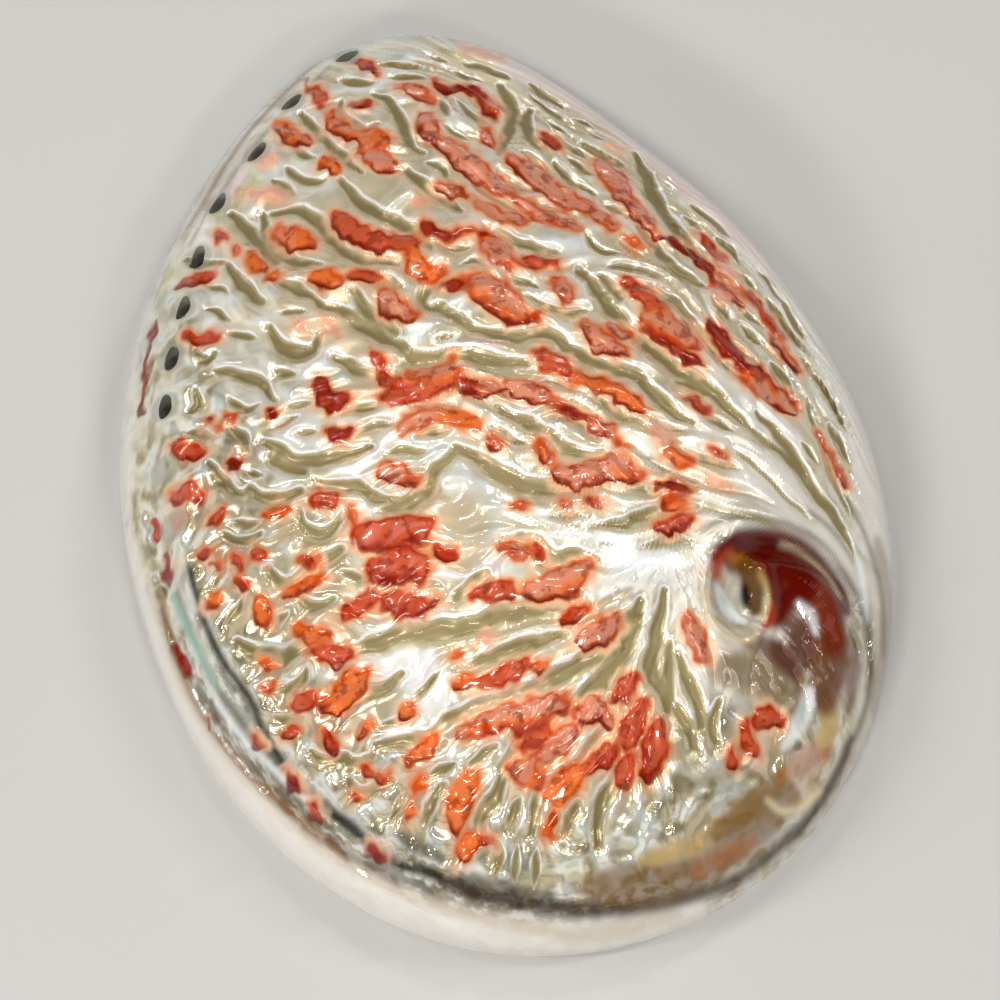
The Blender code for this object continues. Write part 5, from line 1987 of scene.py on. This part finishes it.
    def material(self, pearl: bpy.types.NodeTree) -> bpy.types.Material:
        """Build the material.

        Args:
            pearl: The group that gives the play of colour.

        Returns:
            The material.
        """
        material = bpy.data.materials.new("polished_nacre")
        material.use_nodes = True
        shader = material.node_tree.nodes["Principled BSDF"]
        marks = NacreMarks(Sketch(material.node_tree))
        result = self.nacre(marks, pearl)
        for layer in (self.groove, self.painted, self.channels, self.fringes, self.patches, self.openings):
            result = layer(marks, result)
        marks.sketch.feed(shader.inputs["Base Color"], result)
        self.gloss(shader, marks, result)
        self.bumps(shader, marks)
        return material

    def nacre(self, marks: NacreMarks, pearl: bpy.types.NodeTree) -> Socket:
        """Colour the plain nacre: its play, painted dark and bright reflections on its facets, and painted
        tan shade in its low places.
        """
        sketch = marks.sketch
        play = sketch.tree.nodes.new("ShaderNodeGroup")
        play.node_tree = pearl
        sketch.feed(play.inputs["Place"], sketch.stretched("flow", self.play_stretch))
        play.inputs["Play"].default_value = self.play
        result = sketch.blend(marks.apart, self.calm, play.outputs["Colour"])
        shaded = sketch.times(sketch.ease(marks.cloud, *self.shaded), marks.apart)
        result = sketch.blend(shaded, result, self.shade)
        # Painted reflections: olive and white spots, strongest in the band behind the holes.
        reflection_facets = sketch.ramp(sketch.noise(marks.spot, *self.facet_reflection_noise), self.facet_reflections)
        result = sketch.blend(sketch.plus(marks.glint, *self.facet_reflection_share), result, reflection_facets)
        # Painted shade: low places turn tan.
        rise = sketch.plus(marks.warp, self.rise_shake, sketch.attribute("rise"))
        return sketch.blend(sketch.ease(rise, *self.shaded_low_places), result, self.shade_tan)

    def groove(self, marks: NacreMarks, ground: Socket) -> Socket:
        """Paint mottled shade and glints on the band of the groove behind the row of holes."""
        sketch = marks.sketch
        along, beside, _ = sketch.parts("shoulder")
        grain = sketch.noise(sketch.stretched("shoulder", self.groove_stretch), *self.groove_noise)
        shaky = sketch.swung(grain, self.groove_shake, beside)
        reach = sketch.between(along, self.groove_along)
        band = sketch.times(sketch.between(shaky, self.groove_across), reach)
        # Painted shade and glints: dark olive and black, silver and white.
        shaded_mottle = sketch.ramp(sketch.ease(grain, *self.groove_grain), self.groove_shade_glints)
        return sketch.blend(sketch.times(band, self.groove_cover), ground, shaded_mottle)

    def painted(self, marks: NacreMarks, ground: Socket) -> Socket:
        """Lay the tints of the smooth places, with their painted shade and painted highlights."""
        return marks.sketch.blend(marks.cover, ground, marks.tint)

    def channels(self, marks: NacreMarks, ground: Socket) -> Socket:
        """Paint shade into the channels, tan deepening to olive in their middles, and a painted highlight
        line along their steep side.
        """
        sketch = marks.sketch
        # Painted shade: tan at the channel's edges, olive in its middle.
        bottom = sketch.blend(sketch.ease(marks.channel, *self.channel_shade), self.shade_tan, self.deep_shade_olive)
        result = sketch.blend(marks.in_channel, ground, bottom)
        # Painted highlight: a white line on the steep side of the channel.
        ledge = sketch.times(sketch.between(marks.channel, self.ledge), sketch.rest(marks.gentle))
        return sketch.blend(ledge, result, self.lip)

    def fringes(self, marks: NacreMarks, ground: Socket) -> Socket:
        """Let the colour of the patches fade out around them and along the growth lines."""
        sketch = marks.sketch
        drawn = sketch.plus(marks.warp, self.drawn_shake, sketch.attribute("glow"))
        drawn = sketch.times(sketch.plus(marks.in_channel, self.drawn_in_channel, drawn), marks.domed)
        result = sketch.blend(sketch.ease(drawn, *self.drawn_halo), ground, self.halo)
        result = sketch.blend(sketch.ease(drawn, *self.drawn_glow), result, self.glow)
        near = sketch.times(sketch.ease(marks.depth, *self.halo_fringe), marks.domed)
        result = sketch.blend(near, result, self.halo)
        strong = sketch.ease(marks.tone, *self.glow_of_tone)
        glow = sketch.times(sketch.ease(marks.depth, *self.glow_fringe), strong)
        return sketch.blend(sketch.times(glow, marks.domed), result, self.glow)

    def patches(self, marks: NacreMarks, ground: Socket) -> Socket:
        """Fill the patches: a rim, a paler core, dusky blotches and a dark contour on one side."""
        sketch = marks.sketch
        facet = sketch.ease(sketch.swung(marks.broad, self.facet_reach, marks.depth), *self.facet)
        filling = sketch.blend(facet, sketch.ramp(marks.tone, self.rims), sketch.ramp(marks.tone, self.cores))
        dark = sketch.ease(marks.tone, *self.dark_of_tone)
        dusk = sketch.noise(sketch.shifted(marks.spot, self.dusk_shift), *self.dusk_noise)
        filling = sketch.blend(sketch.times(sketch.ease(dusk, *self.dusky), dark), filling, self.dusk)
        result = sketch.blend(sketch.ease(marks.depth, *self.patch_edge), ground, filling)
        sided = sketch.times(sketch.ease(sketch.attribute("patch_side"), *self.contour_side), dark)
        contour = sketch.between(marks.depth, self.contour)
        contour = sketch.times(contour, sketch.ease(marks.cloud, *self.contour_cloud))
        return sketch.blend(sketch.times(contour, sided), result, self.edge)

    def openings(self, marks: NacreMarks, ground: Socket) -> Socket:
        """Colour the rings round the holes, the hollow side and the holes' walls."""
        sketch = marks.sketch
        result = sketch.blend(sketch.times(sketch.attribute("ring"), self.ring_cover), ground, self.ring)
        result = sketch.blend(sketch.attribute("hollow"), result, self.hollow)
        return sketch.blend(sketch.attribute("wall"), result, self.wall)

    def gloss(self, shader: bpy.types.Node, marks: NacreMarks, base: Socket) -> None:
        """Set how metallic, how smooth and how coated each place is.

        Args:
            shader: The material's shader.
            marks: The shared marks.
            base: The finished colour. Dark places have less coat, so that the light doesn't veil them.
        """
        sketch = marks.sketch
        covered = sketch.number("MAXIMUM", sketch.ease(marks.depth, *self.covered), marks.cover)
        bare = sketch.rest(sketch.times(covered, self.covered_dull))
        sketch.feed(shader.inputs["Metallic"], sketch.times(sketch.plus(marks.glint, *self.metal), bare))
        core = sketch.ease(marks.channel, *self.channel_core)
        rough = sketch.plus(marks.cover, self.smoother[0], sketch.ease(marks.broad, *self.roughness))
        rough = sketch.plus(marks.glint, self.smoother[1], rough)
        sketch.feed(shader.inputs["Roughness"], sketch.plus(core, self.core_rough, rough))
        lightness = sketch.tree.nodes.new("ShaderNodeRGBToBW")
        sketch.feed(lightness.inputs["Color"], base)
        coat = sketch.ease(lightness.outputs["Val"], *self.coat)
        sketch.feed(shader.inputs["Coat Weight"], sketch.plus(core, self.core_coat, coat))
        shader.inputs["Specular IOR Level"].default_value = self.specular
        shader.inputs["Coat Roughness"].default_value = self.coat_roughness

    def bumps(self, shader: bpy.types.Node, marks: NacreMarks) -> None:
        """Make the polish a little uneven and the channels' bottoms a little deeper."""
        sketch = marks.sketch
        bump = sketch.tree.nodes.new("ShaderNodeBump")
        bump.inputs["Strength"].default_value, bump.inputs["Distance"].default_value = self.bump
        broad, fine, channel = self.bump_shares
        height = sketch.plus(marks.broad, broad, sketch.times(marks.fine, fine))
        sketch.feed(bump.inputs["Height"], sketch.plus(marks.in_channel, channel, height))
        sketch.feed(shader.inputs["Normal"], bump.outputs["Normal"])


@dataclass(frozen=True)
class FloorFinish:
    """Plain pale matt floor."""

    tint: tuple = colour(184, 182, 178)
    roughness: float = 0.7

    def material(self) -> bpy.types.Material:
        """Build the material."""
        material = bpy.data.materials.new("pale_floor")
        material.use_nodes = True
        shader = material.node_tree.nodes["Principled BSDF"]
        shader.inputs["Base Color"].default_value = self.tint
        shader.inputs["Roughness"].default_value = self.roughness
        return material


@dataclass(frozen=True)
class SoftBox:
    """One area light: where it hangs about the shell, its size in metres and its power in watts."""

    azimuth: float
    elevation: float
    distance: float
    size: tuple[float, float]
    power: float
    tint: Triple = (1.0, 1.0, 1.0)


@dataclass
class Studio:
    """The floor, the lights and the camera."""

    view: PhotoView
    moved: Triple
    floor_size: float = 6.0
    sensor: float = 36.0
    world: Triple = (0.66, 0.64, 0.60)
    world_strength: float = 0.07
    boxes: tuple[SoftBox, ...] = (
        SoftBox(-45, 38, 0.9, (0.26, 0.06), 2.9),
        SoftBox(10, 42, 0.9, (0.18, 0.05), 1.7),
        SoftBox(-110, 50, 0.9, (0.05, 0.24), 1.9),
        SoftBox(-150, 62, 1.1, (0.08, 0.08), 0.9),
        SoftBox(-20, 76, 1.1, (0.09, 0.04), 0.6),
        SoftBox(95, 52, 1.0, (0.05, 0.22), 2.2),
        SoftBox(150, 58, 1.1, (0.18, 0.05), 1.6),
        SoftBox(-128, 52, 1.7, (1.5, 1.0), 6.0),
        SoftBox(62, 48, 1.7, (1.2, 0.9), 4.2),
        SoftBox(-35, 16, 1.5, (1.4, 0.5), 1.3, (1.0, 0.95, 0.86)),
        SoftBox(-102, 26, 1.2, (0.5, 0.12), 1.2),
        SoftBox(78, 28, 1.3, (0.5, 0.12), 1.0),
    )

    def floor(self, finish: bpy.types.Material) -> bpy.types.Object:
        """Lay the floor under the rim."""
        half = self.floor_size / 2
        mesh = bpy.data.meshes.new("floor")
        mesh.from_pydata([(-half, -half, 0.0), (half, -half, 0.0), (half, half, 0.0), (-half, half, 0.0)], [],
                         [(0, 1, 2, 3)])
        mesh.materials.append(finish)
        plane = bpy.data.objects.new("floor", mesh)
        bpy.context.scene.collection.objects.link(plane)
        return plane

    def lights(self) -> None:
        """Hang the soft boxes and light the room evenly."""
        for number, box in enumerate(self.boxes):
            lamp = bpy.data.lights.new(f"soft_box_{number + 1}", "AREA")
            lamp.shape = "RECTANGLE"
            lamp.size, lamp.size_y = box.size
            lamp.energy = box.power
            lamp.color = box.tint
            out = direction(box.azimuth, box.elevation)
            holder = bpy.data.objects.new(lamp.name, lamp)
            holder.location = out * box.distance
            holder.rotation_euler = (-out).to_track_quat("-Z", "Y").to_euler()
            bpy.context.scene.collection.objects.link(holder)
        world = bpy.data.worlds.new("studio")
        world.use_nodes = True
        back = world.node_tree.nodes["Background"]
        back.inputs["Color"].default_value = (*self.world, 1.0)
        back.inputs["Strength"].default_value = self.world_strength
        bpy.context.scene.world = world
        bpy.context.scene.view_settings.view_transform = "Standard"

    def camera(self) -> None:
        """Set the camera at the photograph's viewing angle."""
        back = self.view.back()
        data = bpy.data.cameras.new("camera")
        data.sensor_width = self.sensor
        across = 2 * self.view.middle * self.view.pixel_mm
        data.lens = self.sensor * self.view.distance_mm / across
        data.clip_start, data.clip_end = 0.01, 20.0
        camera = bpy.data.objects.new("camera", data)
        aim = Vector((self.view.aim[0] * MM + self.moved[0], self.view.aim[1] * MM + self.moved[1], 0.0))
        camera.location = aim + back * self.view.distance_mm * MM
        camera.rotation_euler = (-back).to_track_quat("-Z", "Y").to_euler()
        bpy.context.scene.collection.objects.link(camera)
        bpy.context.scene.camera = camera


def main() -> None:
    """Build the shell and the studio."""
    logging.basicConfig(level=logging.INFO, format="%(message)s")
    shell = ShellPiece()
    piece = shell.build(NacreFinish().material(PearlPlay().group()))
    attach(piece, "root")
    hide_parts("abalone_shell")
    log.info("%s: %d faces", piece.name, len(piece.data.polygons))

    studio = Studio(shell.surface.view, shell.moved)
    studio.floor(FloorFinish().material())
    studio.lights()
    studio.camera()


if __name__ == "__main__":
    main()
